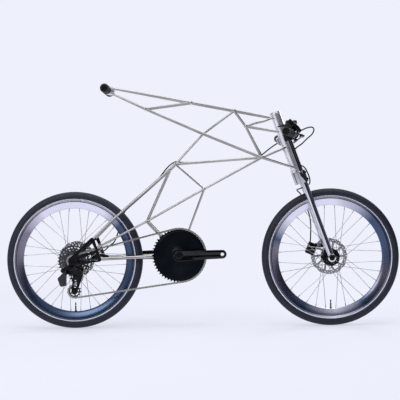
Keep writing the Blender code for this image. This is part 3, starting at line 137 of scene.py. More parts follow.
# Cranks and chain
bracket_back = 0.0855
bracket_height = 0.2755
bracket_shell_diameter = 0.042
bracket_shell_width = 0.068
bracket_bore = 0.0246
cup_width = 0.0065
cup_diameter = 0.039
spindle_diameter = 0.024
crank_length = 0.1625
crank_end_height = 0.034
crank_root_height = 0.044
crank_thickness = 0.013
crank_outer_face = 0.074
crank_bolt_recess = 0.0010
crank_recess_diameter = 0.0340
crank_rise = math.radians(1.4)
pedal_hole_diameter = 0.014
pedal_thread_pitch = 0.0013
crank_waist_radius = 0.0175
crank_hollow_depth = 0.0016
crank_waist_share = 0.45
crank_edge = 0.0022
chain_pitch = 0.0127
chain_plate_height = 0.0080
chain_plate_thickness = 0.0007
chain_inner_half_width = 0.00105
chainring_teeth = 50
chainring_offset = 0.0435
chainring_thickness = 0.0016
chainring_disc_thickness = 0.0048
chainring_disc_radius = 0.0930
chainring_boss_radius = 0.0220
sprocket_teeth = (10, 12, 14, 16, 18, 21, 25, 30)
sprocket_spacing = 0.0048
sprocket_thickness = 0.0016
sprocket_outer_offset = 0.0640
sprocket_core_diameter = 0.030
rear_hub_split = 0.0275
cassette_end = 0.0672
pulley_teeth = 12
chain_square_run = 0.042
tooth_tip_half_width = 0.0008
tooth_valley_radius = 0.0040
ring_tooth_rise = 0.0030
sprocket_tooth_rise = 0.0021
sprocket_arms = 6
pulley_tooth_rise = 0.0018
pulley_tooth_half_width = 0.0010
pulley_windows = 5
pulley_thickness = 0.0022
pulley_bearing_radius = 0.0056
pulley_window_far = 0.0165
pulley_window_near = 0.0098
chain_roller_radius = 0.0038
chain_rivet_radius = 0.0017
chain_outer_half_width = 0.0029

# Truss: each spot is (forward, half width, height)
crossbar_spot = (-0.3545, 0.907)
crossbar_half_length = 0.085
crossbar_diameter = 0.022
sleeve_diameter = 0.034
crossbar_clamp_width = 0.036
crossbar_clamp_diameter = 0.031
clamp_nose = (-0.3400, 0.9040)
clamp_nose_radius = 0.015
chord_back_top = (-0.3335, 0.011, 0.9140)
chord_back_low = (-0.3345, 0.011, 0.8935)
head_top_height = 0.5615
head_top_half_width = 0.012
back_knee_x = -0.0336
front_knee_x = 0.1297
knee_half_width = 0.026
low_back = (-0.2077, 0.024, 0.8323)
low_middle = (0.0103, 0.034, 0.7345)
nose = (0.2330, 0.044, 0.6412)
branch = (0.1731, 0.032, 0.7606)
shoulder = (-0.0970, 0.040, 0.6207)
stay_knot = (-0.1180, 0.040, 0.6000)
waist = (0.0112, 0.044, 0.5248)
rear_knot = (-0.2081, 0.037, 0.4050)
brace_bow = ((0.211, 0.029, 0.7735), (0.242, 0.024, 0.7795), (0.260, 0.020, 0.7860))
bow_diameter = 0.0060
brace_front_x = 0.2720
brace_front_half_width = 0.0155
stay_bends = ((-0.3449, 0.054, 0.4054),)
stay_end = (-0.4130, 0.0700, 0.3390)
lower_stay_end = (-0.3970, 0.0695, 0.3085)
chain_stay_end = (-0.3850, 0.0665, 0.2665)
brace_head_height = 0.507
nose_head_high = 0.449
nose_head_low = 0.364
nose_head_half_width = 0.015
bracket_strut_half_width = 0.027
chain_stay_bend = (-0.2100, 0.031, 0.2710)
chord_diameter = 0.0080
web_diameter = 0.0070
stay_diameter = 0.0085
bracket_strut_diameter = 0.0105
chain_stay_diameter = 0.0125
knot_diameter = 0.0115
knot_flatness = 0.45
weld_swell = 0.62
knot_reach = 0.005

# Rear ends and derailleur
end_plate_thickness = 0.007
end_plate_inner_face = 0.068
end_plate_top = (-0.4115, 0.3395, 0.0085)
end_plate_front = (-0.3860, 0.2655, 0.0085)
end_plate_windows = (
    ((-0.4700, 0.2765, 0.002), (-0.4150, 0.3300, 0.002), (-0.4010, 0.3010, 0.002)),
    (
        (-0.4630, 0.2590, 0.002), (-0.3915, 0.2650, 0.002), (-0.3990, 0.2875, 0.002),
        (-0.4640, 0.2670, 0.002),
    ),
)
end_boss_diameter = 0.030
hanger_spot = (-0.4960, 0.2305)
hanger_radius = 0.0095
hanger_thickness = 0.006
link_length = 0.046
link_swing = math.radians(38.0)
link_slope = math.radians(36.87)
link_slant = math.radians(51.0)
link_spread = 0.011
link_radius = 0.0038
link_half_width = 0.0065
link_slot_half = 0.0034
link_slot_radius = 0.0100
link_pin_diameter = 0.0030
tongue_radius = 0.0042
tongue_half = 0.0030
post_offset = 0.0095
post_radius = 0.0038
knuckle_offset = 0.0935
knuckle_flange_radius = 0.0100
knuckle_drum_radius = 0.0125
cage_arm = 0.0843
guide_arm = 0.0320
guide_lead = math.radians(-20.0)
cage_angle_guess = math.radians(-110.5)
cage_plate_thickness = 0.0015
cage_plate_inner = 0.0032
cage_bolt_diameter = 0.0050
cage_end_radius = 0.0120
cage_pivot_radius = 0.0105
cage_window_radius = 0.0055
battery_corners = (
    (-0.5330, 0.1965, 0.006), (-0.5140, 0.2150, 0.006), (-0.5140, 0.1750, 0.006),
    (-0.5250, 0.1735, 0.006),
)
battery_offset = 0.0885
battery_thickness = 0.022

# Brakes and controls
caliper_slot = 0.0032
caliper_near = 0.058
piston_diameter = 0.021
front_caliper_turn = math.radians(156.3)
front_bracket_height = 0.045
rear_caliper_turn = math.radians(16.6)
lever_position = 0.133
lever_clamp_width = 0.012
lever_body_diameter = 0.021
lever_reach = 0.078
lever_droop = math.radians(23.0)
lever_blade_thickness = 0.006
lever_boss_radius = 0.0062
shift_pod_position = 0.106
shift_pod_size = (0.042, 0.028, 0.034)
hinge_half_width = 0.0125
guide_height = 0.480
guide_size = (0.012, 0.014, 0.028)
hose_diameter = 0.0050
front_hose_loop = (
    (0.3705, -0.1475, 0.7335), (0.3930, -0.1490, 0.7430), (0.4120, -0.1430, 0.7455),
    (0.4200, -0.1285, 0.7370), (0.4145, -0.1110, 0.7215), (0.3974, -0.0850, 0.7063),
    (0.3791, -0.0600, 0.6877), (0.3660, -0.0400, 0.6790), (0.3560, -0.0262, 0.6640),
)
front_hose_crown = (
    (0.352, 0.0350, -0.0300), (0.291, 0.0350, -0.0280), (0.283, -0.0040, -0.0180),
    (0.281, -0.0200, 0.0200),
)
front_hose_end = (
    (0.3850, 0.0380, 0.4950), (0.4170, 0.0470, 0.4111), (0.4180, 0.0500, 0.3340),
    (0.4155, 0.0500, 0.3120),
)
hose_easing = 3
steering_hose_bend = ((0.2960, 0.0086, 0.7062), (0.3630, 0.0600, 0.7008))
steering_hose_run = (
    (0.3705, 0.1475, 0.7335), (0.3870, 0.1450, 0.7350), (0.3985, 0.1370, 0.7335),
    (0.4015, 0.1240, 0.7275), (0.3849, 0.1000, 0.7184), (0.3630, 0.0600, 0.7008),
    (0.3370, 0.0560, 0.6900), (0.3060, 0.0420, 0.6900), (0.2990, 0.0200, 0.7000),
    (0.2960, 0.0086, 0.7062),
)
rear_hose_run = (
    (0.2935, 0.0000, 0.6960), (0.2620, 0.0020, 0.6750), (0.2330, 0.0060, 0.6520),
    (0.2080, 0.0100, 0.6415), (0.1000, 0.0120, 0.6340), (-0.0600, 0.0120, 0.6265),
    (-0.0950, 0.0140, 0.6318), (-0.1250, 0.0260, 0.6140), (-0.1500, 0.0340, 0.5850),
    (-0.1900, 0.0345, 0.5382), (-0.2877, 0.0400, 0.4545), (-0.3050, 0.0440, 0.4200),
    (-0.3361, 0.0470, 0.3322), (-0.3538, 0.0470, 0.3150), (-0.3814, 0.0480, 0.2902),
    (-0.4039, 0.0480, 0.2860),
)

gap = 0.0003
wheel_radius = tyre_diameter / 2
round_sides = 20
centre_line = (0, 0)
fine_edge = 0.0006

behaviour = frame["record"]["behaviour"]
body_of_node = {node: body for body, nodes in behaviour["bodies"].items() for node in nodes}

assembly = bpy.context.scene.collection
side_view = Matrix(((1, 0, 0, 0), (0, 0, -1, 0), (0, 1, 0, 0), (0, 0, 0, 1)))
weld_distance = 1e-6
flat_angle = 0.0002


# Building blocks


def loose(data, matrix=None):
    """An object for mesh or curve data that has no name of its own yet."""
    shape = bpy.data.objects.new("shape", data)
    shape.matrix_world = matrix or Matrix()
    assembly.objects.link(shape)
    return shape


def from_work(work, matrix=None):
    mesh = bpy.data.meshes.new("shape")
    work.to_mesh(mesh)
    work.free()
    return loose(mesh, matrix)


def settle(shape):
    """The shape as one mesh in world space, with its modifiers applied and its seams welded."""
    bpy.context.view_layer.update()
    graph = bpy.context.evaluated_depsgraph_get()
    mesh = bpy.data.meshes.new_from_object(shape.evaluated_get(graph))
    mesh.transform(shape.matrix_world)
    work = bmesh.new()
    work.from_mesh(mesh)
    bmesh.ops.remove_doubles(work, verts=work.verts, dist=weld_distance)
    bmesh.ops.dissolve_degenerate(work, edges=work.edges, dist=weld_distance)
    bmesh.ops.dissolve_limit(work, angle_limit=flat_angle, verts=work.verts, edges=work.edges)
    bmesh.ops.recalc_face_normals(work, faces=work.faces)
    work.to_mesh(mesh)
    work.free()
    bpy.data.objects.remove(shape, do_unlink=True)
    return loose(mesh)


def combine(shape, tools, operation):
    for tool in tools:
        step = shape.modifiers.new(operation.lower(), "BOOLEAN")
        step.operation = operation
        step.solver = "EXACT"
        step.object = tool
    result = settle(shape)
    for tool in tools:
        bpy.data.objects.remove(tool, do_unlink=True)
    return result


def union(shapes):
    return combine(shapes[0], shapes[1:], "UNION")


def cut(shape, tools):
    return combine(shape, tools, "DIFFERENCE")


def gather(shapes):
    """Shapes that don't touch, as one."""
    work = bmesh.new()
    for shape in shapes:
        bpy.context.view_layer.update()
        shape.data.transform(shape.matrix_world)
        work.from_mesh(shape.data)
        bpy.data.objects.remove(shape, do_unlink=True)
    return from_work(work)


def main_part(shape):
    """The largest connected part of a shape."""
    work = bmesh.new()
    work.from_mesh(shape.data)
    left = set(work.verts)
    parts = []
    while left:
        part = [left.pop()]
        for corner in part:
            for edge in corner.link_edges:
                other = edge.other_vert(corner)
                if other in left:
                    left.discard(other)
                    part.append(other)
        parts.append(part)
    parts.sort(key=len)
    bmesh.ops.delete(work, geom=[corner for part in parts[:-1] for corner in part], context="VERTS")
    work.to_mesh(shape.data)
    work.free()
    return shape


def aimed(spot, along):
    """A frame at a spot, with its local Z along a direction."""
    return Matrix.Translation(Vector(spot)) @ Vector(along).to_track_quat("Z", "Y").to_matrix().to_4x4()


def rod(start, end, diameter, sides=round_sides):
    start = Vector(start)
    end = Vector(end)
    work = bmesh.new()
    bmesh.ops.create_cone(
        work,
        cap_ends=True,
        segments=sides,
        depth=(end - start).length,
        radius1=diameter / 2,
        radius2=diameter / 2,
    )
    work.transform(aimed((start + end) / 2, end - start))
    return from_work(work)


def through(middle, reach, diameter, sides=round_sides):
    """A rod that reaches as far to both sides of its middle."""
    return rod(middle - reach, middle + reach, diameter, sides)


def add_spline(curve, points, closed=False):
    spline = curve.splines.new("POLY")
    spline.points.add(len(points) - 1)
    for knot_point, place in zip(spline.points, points):
        knot_point.co = (*place, *[0] * (3 - len(place)), 1)
    spline.use_cyclic_u = closed


def tube(points, diameter, sides=round_sides):
    curve = bpy.data.curves.new("tube", "CURVE")
    curve.dimensions = "3D"
    curve.bevel_depth = diameter / 2
    curve.bevel_resolution = (sides - 4) // 2
    curve.use_fill_caps = True
    add_spline(curve, points)
    return settle(loose(curve))


def plate(outlines, thickness, matrix):
    """A flat plate in the local XY plane of the matrix; outlines after the first are its holes."""
    curve = bpy.data.curves.new("plate", "CURVE")
    curve.dimensions = "2D"
    curve.fill_mode = "BOTH"
    curve.extrude = thickness / 2
    for outline in outlines:
        add_spline(curve, outline, True)
    return settle(loose(curve, matrix))


def turned(profile, matrix, steps):
    """A profile of (radius, height) points, turned about the local Z axis of the matrix."""
    work = bmesh.new()
    corners = [work.verts.new((radius, 0, height)) for radius, height in profile]
    for first, second in zip(corners, corners[1:]):
        work.edges.new((first, second))
    if min(radius for radius, height in profile) > 0:
        work.edges.new((corners[-1], corners[0]))
    shape = from_work(work, matrix)
    screw = shape.modifiers.new("turn", "SCREW")
    screw.steps = steps
    screw.render_steps = steps
    screw.use_merge_vertices = True
    screw.merge_threshold = 1e-5
    return settle(shape)


def mirrored(half, crown=()):
    """A whole profile from the half on one side of its middle."""
    return [(radius, -side) for radius, side in half] + list(crown) + half[::-1]


def add_prism(work, near, far):
    """A closed prism between two rings of points."""
    rings = [[work.verts.new(point) for point in ring] for ring in (near, far)]
    for ring in rings:
        work.faces.new(ring)
    for here in range(len(near)):
        after = (here + 1) % len(near)
        work.faces.new((rings[0][here], rings[0][after], rings[1][after], rings[1][here]))


def soften(shape, width, segments=2, angle=35):
    """The shape with its sharper edges rounded."""
    edge = shape.modifiers.new("edge", "BEVEL")
    edge.width = width
    edge.segments = segments
    edge.limit_method = "ANGLE"
    edge.angle_limit = math.radians(angle)
    return settle(shape)


def block(size, matrix):
    work = bmesh.new()
    bmesh.ops.create_cube(work, size=1.0)
    bmesh.ops.scale(work, vec=size, verts=work.verts)
    return settle(from_work(work, matrix))


def ball(spot, radius, stretch=None):
    """A round bead, such as the weld where tubes meet."""
    work = bmesh.new()
    bmesh.ops.create_uvsphere(work, u_segments=18, v_segments=12, radius=radius)
    return from_work(work, Matrix.Translation(Vector(spot)) @ (stretch or Matrix()))


def polar(radius, turn, centre=centre_line):
    return (centre[0] + radius * math.cos(turn), centre[1] + radius * math.sin(turn))


def circle_points(radius, count, centre=centre_line):
    return [polar(radius, 2 * math.pi * step / count, centre) for step in range(count)]


def arc(centre, radius, start, stop, count):
    """Points along an arc, from one turn in degrees to another."""
    steps = [math.radians(start + (stop - start) * step / (count - 1)) for step in range(count)]
    return [polar(radius, turn, centre) for turn in steps]


def round_hull(circles, count=12):
    """The outline of a band stretched round circles given as (across, up, radius)."""
    points = [point for x, y, radius in circles for point in circle_points(radius, count, (x, y))]
    return [points[index] for index in convex_hull_2d([Vector(point) for point in points])]


def across(place, drive):
    """A point of the side view (forward, height), so far out toward the drive side."""
    return Vector((place[0], -drive, place[1]))


def pin(place, drive_from, drive_to, diameter, sides=round_sides):
    return rod(across(place, drive_from), across(place, drive_to), diameter, sides)


def facing(place, drive=0.0):
    """The side view at a place: local X forward, local Y up and local Z toward the drive side."""
    return Matrix.Translation(across(place, drive)) @ side_view


def band(circles, thickness, place=0.0, count=24, windows=()):
    """A plate stretched round circles, so far out toward the drive side or in a frame of its own."""
    matrix = place if isinstance(place, Matrix) else facing(centre_line, place)
    return plate([round_hull(circles, count), *windows], thickness, matrix)


def bolt_head(spot, along, radius, height):
    """A round bolt head with a six-sided socket, standing on a spot."""
    place = aimed(spot, along)
    foot = -height * 0.5
    profile = [(0, foot), (radius, foot), (radius, height * 0.7), (radius * 0.86, height), (0, height)]
    socket = [place @ Vector((0, 0, height * share)) for share in (0.35, 1.5)]
    return cut(turned(profile, place, 24), [rod(*socket, radius * 1.05, 6)])


def finished(name, shape, finishes, crease=32):
    """Names a shape and gives it its finishes and its sharp edges."""
    shape.name = name
    shape.data.name = name
    for finish in finishes if isinstance(finishes, tuple) else (finishes,):
        shape.data.materials.append(finish)
    shape.data.shade_smooth()
    shape.data.set_sharp_from_angle(angle=math.radians(crease))
    return shape


def stand_for(node):
    """Hides a node's imported part, so that a piece stands in its place."""
    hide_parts(node)


def dress(node, shape, finishes, crease=32):
    """A finished piece that stands for a node and rides on its body."""
    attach(finished(node + "_look", shape, finishes, crease), body_of_node[node])
    stand_for(node)


def add_on(name, shape, finish, node, crease=32):
    """A small piece that rides on a node's body without standing for it."""
    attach(finished(name, shape, finish, crease), body_of_node[node])


# Where things are

front_axle_spot = (wheel_base / 2, wheel_radius)
rear_axle_spot = (-wheel_base / 2, wheel_radius)
bracket_spot = (-bracket_back, bracket_height)
steer_up = Vector((-math.cos(head_angle), 0, math.sin(head_angle)))
steer_ahead = Vector((math.sin(head_angle), 0, math.cos(head_angle)))
steer_foot = across(front_axle_spot, 0) - steer_ahead * fork_rake
steer_turn = Matrix((steer_ahead, (0, 1, 0), steer_up)).transposed().to_4x4()
steer_frame = Matrix.Translation(steer_foot) @ steer_turn
head_tube_top = head_tube_bottom + head_tube_length
crown_middle = crown_bottom + crown_height / 2
front_rotor_offset = front_hub_width / 2 - front_rotor_inset
rear_rotor_offset = rear_hub_width / 2 - rear_rotor_inset


def on_steering(height, ahead=0.0, side=0.0):
    """A point so far up the steering axis, ahead of it and to the left."""
    return steer_frame @ Vector((ahead, side, height))


def head_spot(height, half_width):
    point = on_steering(height)
    return (point.x, half_width, point.z)


chord_front = head_spot(head_top_height, head_top_half_width)


def chord_spot(x, half_width):
    """A spot on the straight top chord."""
    share = (x - chord_back_top[0]) / (chord_front[0] - chord_back_top[0])
    return (x, half_width, chord_back_top[2] + share * (chord_front[2] - chord_back_top[2]))


back_knee = chord_spot(back_knee_x, knee_half_width)
front_knee = chord_spot(front_knee_x, knee_half_width)
brace_front = chord_spot(brace_front_x, brace_front_half_width)


# Truss


def at(spot, side):
    return Vector((spot[0], side * spot[1], spot[2]))


def pair(spots, diameter):
    return [tube([at(spot, side) for spot in spots], diameter) for side in (-1, 1)]


def welds(spots):
    """A low bead round the end of each web tube of a pair."""
    return [ball(at(spot, side), web_diameter * weld_swell) for spot in spots for side in (-1, 1)]


def knots(spots):
    """Short tubes across the frame, with a rounded cap on each end."""
    shapes = []
    flat = Matrix.Diagonal((1, knot_flatness, 1, 1))
    for x, half_width, z in spots:
        ends = [at((x, half_width + knot_reach - 0.0016, z), side) for side in (-1, 1)]
        shapes.append(rod(*ends, knot_diameter))
        shapes += [ball(end, knot_diameter / 2, flat) for end in ends]
    return shapes


def stopped(tubes):
    """Tubes that stop at the wall of the head tube."""
    low = on_steering(head_tube_bottom - 0.02)
    high = on_steering(head_tube_top + 0.02)
    return [cut(shape, [rod(low, high, head_tube_diameter - 0.003)]) for shape in tubes]


def top_chords():
    chords = pair([chord_back_top, back_knee, front_knee, chord_front], chord_diameter)
    return gather(stopped(chords) + knots([back_knee, front_knee]))


def lower_chords():
    """The lower chords with the bar between them, and the diagonal that crosses it in the middle."""
    chords = pair([chord_back_low, low_back, low_middle, nose], chord_diameter)
    struts = pair([low_back, back_knee], web_diameter)
    bar = rod(at(low_middle, -1), at(low_middle, 1), web_diameter)
    middles = [Vector((spot[0], 0, spot[2])) for spot in (front_knee, low_middle, shoulder)]
    beads = welds([low_middle, back_knee]) + [ball(middles[1], chord_diameter * 0.66)]
    return gather(chords + struts + knots([low_back]) + [bar, tube(middles, chord_diameter)] + beads)


def head_braces():
    """Everything between the front of the truss and the head tube, and the diagonals behind it."""
    legs = pair([front_knee, branch, nose], web_diameter)
    reaching = pair([branch, *brace_bow, brace_front], bow_diameter)
    reaching += pair([branch, head_spot(brace_head_height, head_top_half_width)], web_diameter)
    reaching += pair([nose, head_spot(nose_head_high, nose_head_half_width)], chord_diameter)
    reaching += pair([nose, head_spot(nose_head_low, nose_head_half_width)], web_diameter)
    return gather(legs + stopped(reaching) + knots([branch, nose]) + welds([brace_front, front_knee]))


def long_chords():
    """The long lower chords, carried on behind as the lower stays."""
    chords = pair([lower_stay_end, rear_knot, waist, nose], chord_diameter)
    return gather(chords + knots([rear_knot, waist]))


def seat_stays():
    """The seat stays with the middle chords that run on forward and down from the shoulder."""
    shapes = pair([shoulder, stay_knot, *stay_bends, stay_end], stay_diameter)
    for spots in ([stay_knot, rear_knot], [shoulder, nose], [shoulder, waist]):
        shapes += pair(spots, web_diameter)
    return gather(shapes + knots([shoulder, stay_knot]))


def bottom_bracket_shell():
    """The bottom bracket shell with the struts and the chain stays that grow from it."""
    middle = (bracket_spot[0], bracket_strut_half_width, bracket_spot[1])
    half = bracket_shell_width / 2
    cups = half + cup_width
    shapes = [
        soften(pin(bracket_spot, -half, half, bracket_shell_diameter, 48), fine_edge),
        soften(pin(bracket_spot, -cups, cups, cup_diameter, 24), fine_edge),
    ]
    shapes += pair([waist, middle], web_diameter)
    shapes += pair([rear_knot, middle], bracket_strut_diameter)
    shapes += pair([chain_stay_end, chain_stay_bend, middle], chain_stay_diameter)
    wide = bracket_bore + 2 * gap
    return gather([cut(shape, [pin(bracket_spot, -2 * half, 2 * half, wide, 32)]) for shape in shapes])


def head_tube():
    outer = head_tube_diameter / 2
    collar = outer + head_collar_thickness
    inner = head_tube_bore / 2
    low = head_collar_height - head_collar_length / 2
    high = head_collar_height + head_collar_length / 2
    profile = [
        (inner, head_tube_bottom), (outer - fine_edge, head_tube_bottom),
        (outer, head_tube_bottom + fine_edge), (outer, low - 0.001), (collar, low), (collar, high),
        (outer, high + 0.001), (outer, head_tube_top - fine_edge), (outer - fine_edge, head_tube_top),
        (inner, head_tube_top),
    ]
    middle = on_steering(guide_height, -outer - guide_size[0] / 2 + 0.001)
    guide = soften(block(guide_size, Matrix.Translation(middle) @ steer_turn), 0.003, 1)
    return union([turned(profile, steer_frame, 64), guide])


def rear_end(side):
    """A flat rear end with two windows; the drive side's also carries the derailleur."""
    corners = [(*rear_axle_spot, end_boss_diameter / 2), end_plate_top, end_plate_front]
    middle = end_plate_inner_face + end_plate_thickness / 2
    windows = [round_hull(window) for window in end_plate_windows]
    body = band(corners, end_plate_thickness, -side * middle, 24, windows)
    if side < 0:
        hanger = [(*rear_axle_spot, hanger_radius), (*hanger_spot, hanger_radius)]
        body = union([body, band(hanger, hanger_thickness, middle)])
    far = end_plate_inner_face + end_plate_thickness
    hole = pin(rear_axle_spot, -side * far * 0.8, -side * far * 1.2, axle_diameter + 2 * gap, 32)
    return soften(cut(body, [hole]), 0.0009)


# Wheels

wheel_steps = 144
lip_radius = 0.2232
rim_edge = 0.0040
nose_radius = rim_diameter / 2 - rim_depth
groove_depth = 0.0006
groove_turns = (38, 66)
flange_window_diameter = 0.0098
rotor_waves = 12
rotor_wave_depth = 0.0009


def tyre(place):
    """A slick tyre with two shallow grooves round the crown and a line where the tread starts."""
    half_width = tyre_width / 2
    centre = tyre_diameter / 2 - half_width

    def spot(turn, depth=0.0):
        reach = half_width - depth
        return (centre + reach * math.sin(math.radians(turn)), reach * math.cos(math.radians(turn)))

    half = [
        (rim_bed_diameter / 2 + gap, rim_bed_width / 2 - gap),
        (rim_diameter / 2 + 0.0004, rim_width / 2 - 0.001),
    ]
    for turn in range(-26, 90, 4):
        if turn in groove_turns:
            half += [spot(turn - 1.6), spot(turn, groove_depth), spot(turn + 1.6)]
        else:
            half.append(spot(turn))
    return turned(mirrored(half, [(tyre_diameter / 2, 0)]), facing(place), wheel_steps)


def rim(place):
    """A deep rim: a rounded nose, walls that swell toward the brake-side lip, and the bed."""
    outer = rim_diameter / 2
    wall = rim_width / 2
    half = [
        (nose_radius, 0.0022), (nose_radius + 0.0006, 0.0042),
        (nose_radius + 0.0024, rim_nose_width / 2), (nose_radius + 0.010, 0.0084),
        (nose_radius + 0.018, 0.0107), (rim_shoulder_diameter / 2, wall - 0.0002),
        (lip_radius - 0.0012, wall), (lip_radius - 0.0008, wall - groove_depth),
        (lip_radius + 0.0008, wall - groove_depth), (lip_radius + 0.0012, wall),
        (outer - rim_edge, wall), (outer - fine_edge, wall), (outer, wall - fine_edge),
        (outer, wall - 0.0020), (rim_bed_diameter / 2 + 0.001, rim_bed_width / 2 + 0.001),
        (rim_bed_diameter / 2, rim_bed_width / 2 - 0.001),
    ]
    ring = turned(mirrored(half), facing(place), wheel_steps)
    # The outer edge takes the bright lip finish, a painted highlight; the groove at the lip takes black
    # metal
    for face in ring.data.polygons:
        reach = math.hypot(face.center.x - place[0], face.center.z - place[1])
        if abs(reach - lip_radius) < 0.0006:
            face.material_index = 2
        elif reach > outer - rim_edge:
            face.material_index = 1
    return ring


def valve(place):
    """The valve stem with its lock ring and cap."""
    toward = Vector((math.cos(valve_turn), 0, math.sin(valve_turn)))
    stem = valve_diameter / 2
    end = valve_length
    profile = [
        (0, -0.003), (stem, -0.003), (stem, 0.0005), (stem + 0.0016, 0.0005), (stem + 0.0016, 0.0030),
        (stem - 0.0002, 0.0032), (stem - 0.0002, end - 0.014), (stem - 0.0012, end - 0.0135),
        (stem - 0.0012, end - 0.010), (stem - 0.0004, end - 0.0095), (stem - 0.0008, end - 0.001),
        (0, end),
    ]
    return turned(profile, aimed(across(place, 0) + toward * nose_radius, -toward), 20)


def hub_shell(place, far_flange, drive_flange, half, rotor_offset):
    """Heights run from the drive side, which is up in the side view, to the far side."""
    inner = axle_diameter / 2 + gap
    end = hub_end_diameter / 2
    flange = hub_flange_diameter / 2
    thick = hub_flange_thickness / 2
    barrel = hub_barrel_diameter / 2
    seat = rotor_seat_diameter / 2
    step = rotor_offset - rotor_thickness / 2 - gap
    neck = [(flange - 0.014, 0.0005), (barrel + 0.003, 0.0015), (barrel, 0.006)]

    def edge(middle):
        lifts = ((fine_edge, thick), (0, thick - fine_edge), (0, fine_edge - thick), (fine_edge, -thick))
        return [(flange - sunk, middle + lift) for sunk, lift in lifts]

    profile = [
        (inner, half[0]),
        (end - 0.001, half[0]),
        (end, half[0] - 0.001),
        (end, drive_flange + thick + 0.002),
        (flange - 0.014, drive_flange + thick + 0.0005),
        *edge(drive_flange),
        *[(radius, drive_flange - thick - fall) for radius, fall in neck],
        *[(radius, -far_flange + thick + fall) for radius, fall in neck[::-1]],
        *edge(-far_flange),
        (seat + 0.0015, -far_flange - thick),
        (seat + 0.0015, -step),
        (seat, -step),
        (seat, -step - 0.0035),
        (end, -step - 0.0050),
        (end, -half[1] + 0.001),
        (end - 0.001, -half[1]),
        (inner, -half[1]),
    ]
    holes = []
    for spot in circle_points(flange - 0.0115, flange_windows, place):
        for middle in (drive_flange, -far_flange):
            holes.append(pin(spot, middle - 2 * thick, middle + 2 * thick, flange_window_diameter, 24))
    return cut(turned(profile, facing(place), 64), [gather(holes)])


def spokes(place, far_flange, drive_flange):
    """Straight spokes that cross on their way out, each with its head at the flange and its nipple."""
    shapes = []
    for index in range(spokes_per_wheel):
        turn = 2 * math.pi * (index + 0.5) / spokes_per_wheel
        leading = 1 if (index // 2) % 2 == 0 else -1
        side, rim_side = (drive_flange, 0.0012) if index % 2 == 0 else (-far_flange, -0.0012)
        foot = polar(spoke_circle_diameter / 2, turn + leading * spoke_lean)
        inner = facing(place) @ Vector((*foot, side + leading * spoke_split))
        outer = facing(place) @ Vector((*polar(nose_radius, turn), rim_side))
        along = (outer - inner).normalized()
        head = inner + Vector((0, leading * spoke_head_reach, 0))
        shapes.append(tube([head, inner, outer], spoke_thickness, 8))
        shapes.append(ball(head, spoke_head_radius, Matrix.Diagonal((1, 0.5, 1, 1))))
        nipple = [outer + along * reach for reach in (-0.0110, -0.0105, 0.001)]
        shapes.append(tube(nipple, nipple_diameter, 8))
    return gather(shapes)


def ring_window(far, far_turns, near, near_turns):
    """A window between two radii, out along one set of turns and back along the other."""
    return [polar(far, turn) for turn in far_turns] + [polar(near, turn) for turn in near_turns]


def rotor(place, offset):
    """The steel brake rotor: a waved edge, drilled track and curved arms."""
    outer = rotor_diameter / 2
    waved = []
    for step in range(rotor_waves * 12):
        turn = 2 * math.pi * step / (rotor_waves * 12)
        wave = rotor_wave_depth * (math.cos(rotor_waves * turn) - 1)
        waved.append(polar(outer + wave, turn))
    outlines = [waved, circle_points(rotor_seat_diameter / 2 + 2 * gap, 40)]
    for index in range(rotor_holes):
        reach = outer - rotor_hole_rows[index % len(rotor_hole_rows)]
        spot = polar(reach, 2 * math.pi * index / rotor_holes)
        outlines.append(circle_points(rotor_hole_radius, 10, spot))
    for index in range(2 * rotor_arms):
        start = math.pi * index / rotor_arms
        sweep = math.pi / rotor_arms
        far = [start + 0.085 + step * (sweep - 0.16) / 6 for step in range(7)]
        near = [start + sweep - 0.32 - step * (sweep - 0.22) / 3 for step in range(4)]
        outlines.append(ring_window(outer - rotor_track, far, rotor_carrier_diameter / 2, near))
    return plate(outlines, rotor_thickness, facing(place, -offset))


def rotor_lock(place, offset):
    """The black lock ring that holds the rotor on its splines."""
    outer = rotor_carrier_diameter / 2 - 0.0045
    seat = rotor_seat_diameter / 2 + 0.0004
    face = -offset - rotor_thickness / 2
    profile = [
        (seat, face - 0.0022), (outer - 0.003, face - 0.0022), (outer, face - 0.0004), (outer, face),
        (seat, face),
    ]
    return turned(profile, facing(place), 48)


def axle(place, half_length, head_radius, head_thickness):
    """The axle with a shallow dish and a six-sided socket in each head."""
    end = half_length + head_thickness
    half = [
        (0, end - 0.0012), (head_radius * 0.62, end - 0.0012), (head_radius * 0.70, end),
        (head_radius - 0.0007, end), (head_radius, end - 0.0007), (head_radius, half_length),
        (axle_diameter / 2, half_length),
    ]
    sockets = [pin(place, side * (end - 0.005), side * (end + 0.002), 0.0062, 6) for side in (-1, 1)]
    return cut(turned(mirrored(half), facing(place), 48), sockets)


# Chain and sprockets

full_turn = 2 * math.pi


def pitch_radius(teeth):
    return chain_pitch / (2 * math.sin(math.pi / teeth))


link_middle = Vector((math.cos(link_slope), 0, -math.sin(link_slope)))
link_lift = Vector((math.sin(link_slope), 0, math.cos(link_slope)))
link_motion = Vector((0, 1, 0)) * math.cos(link_slant) - link_lift * math.sin(link_slant)
link_axis = link_middle.cross(link_motion)
link_rest = link_middle * math.cos(link_swing) - link_motion * math.sin(link_swing)
upper_pivot = across(hanger_spot, knuckle_offset)
lower_pivot = upper_pivot + link_rest * link_length
cage_spot = (lower_pivot.x, lower_pivot.z)


def cage_places(angle):
    """Where the tension pulley and the guide pulley stand for a cage at this angle."""
    arms = ((cage_arm, 0), (guide_arm, guide_lead))
    return [Vector(polar(arm, angle + lead, cage_spot)) for arm, lead in arms]


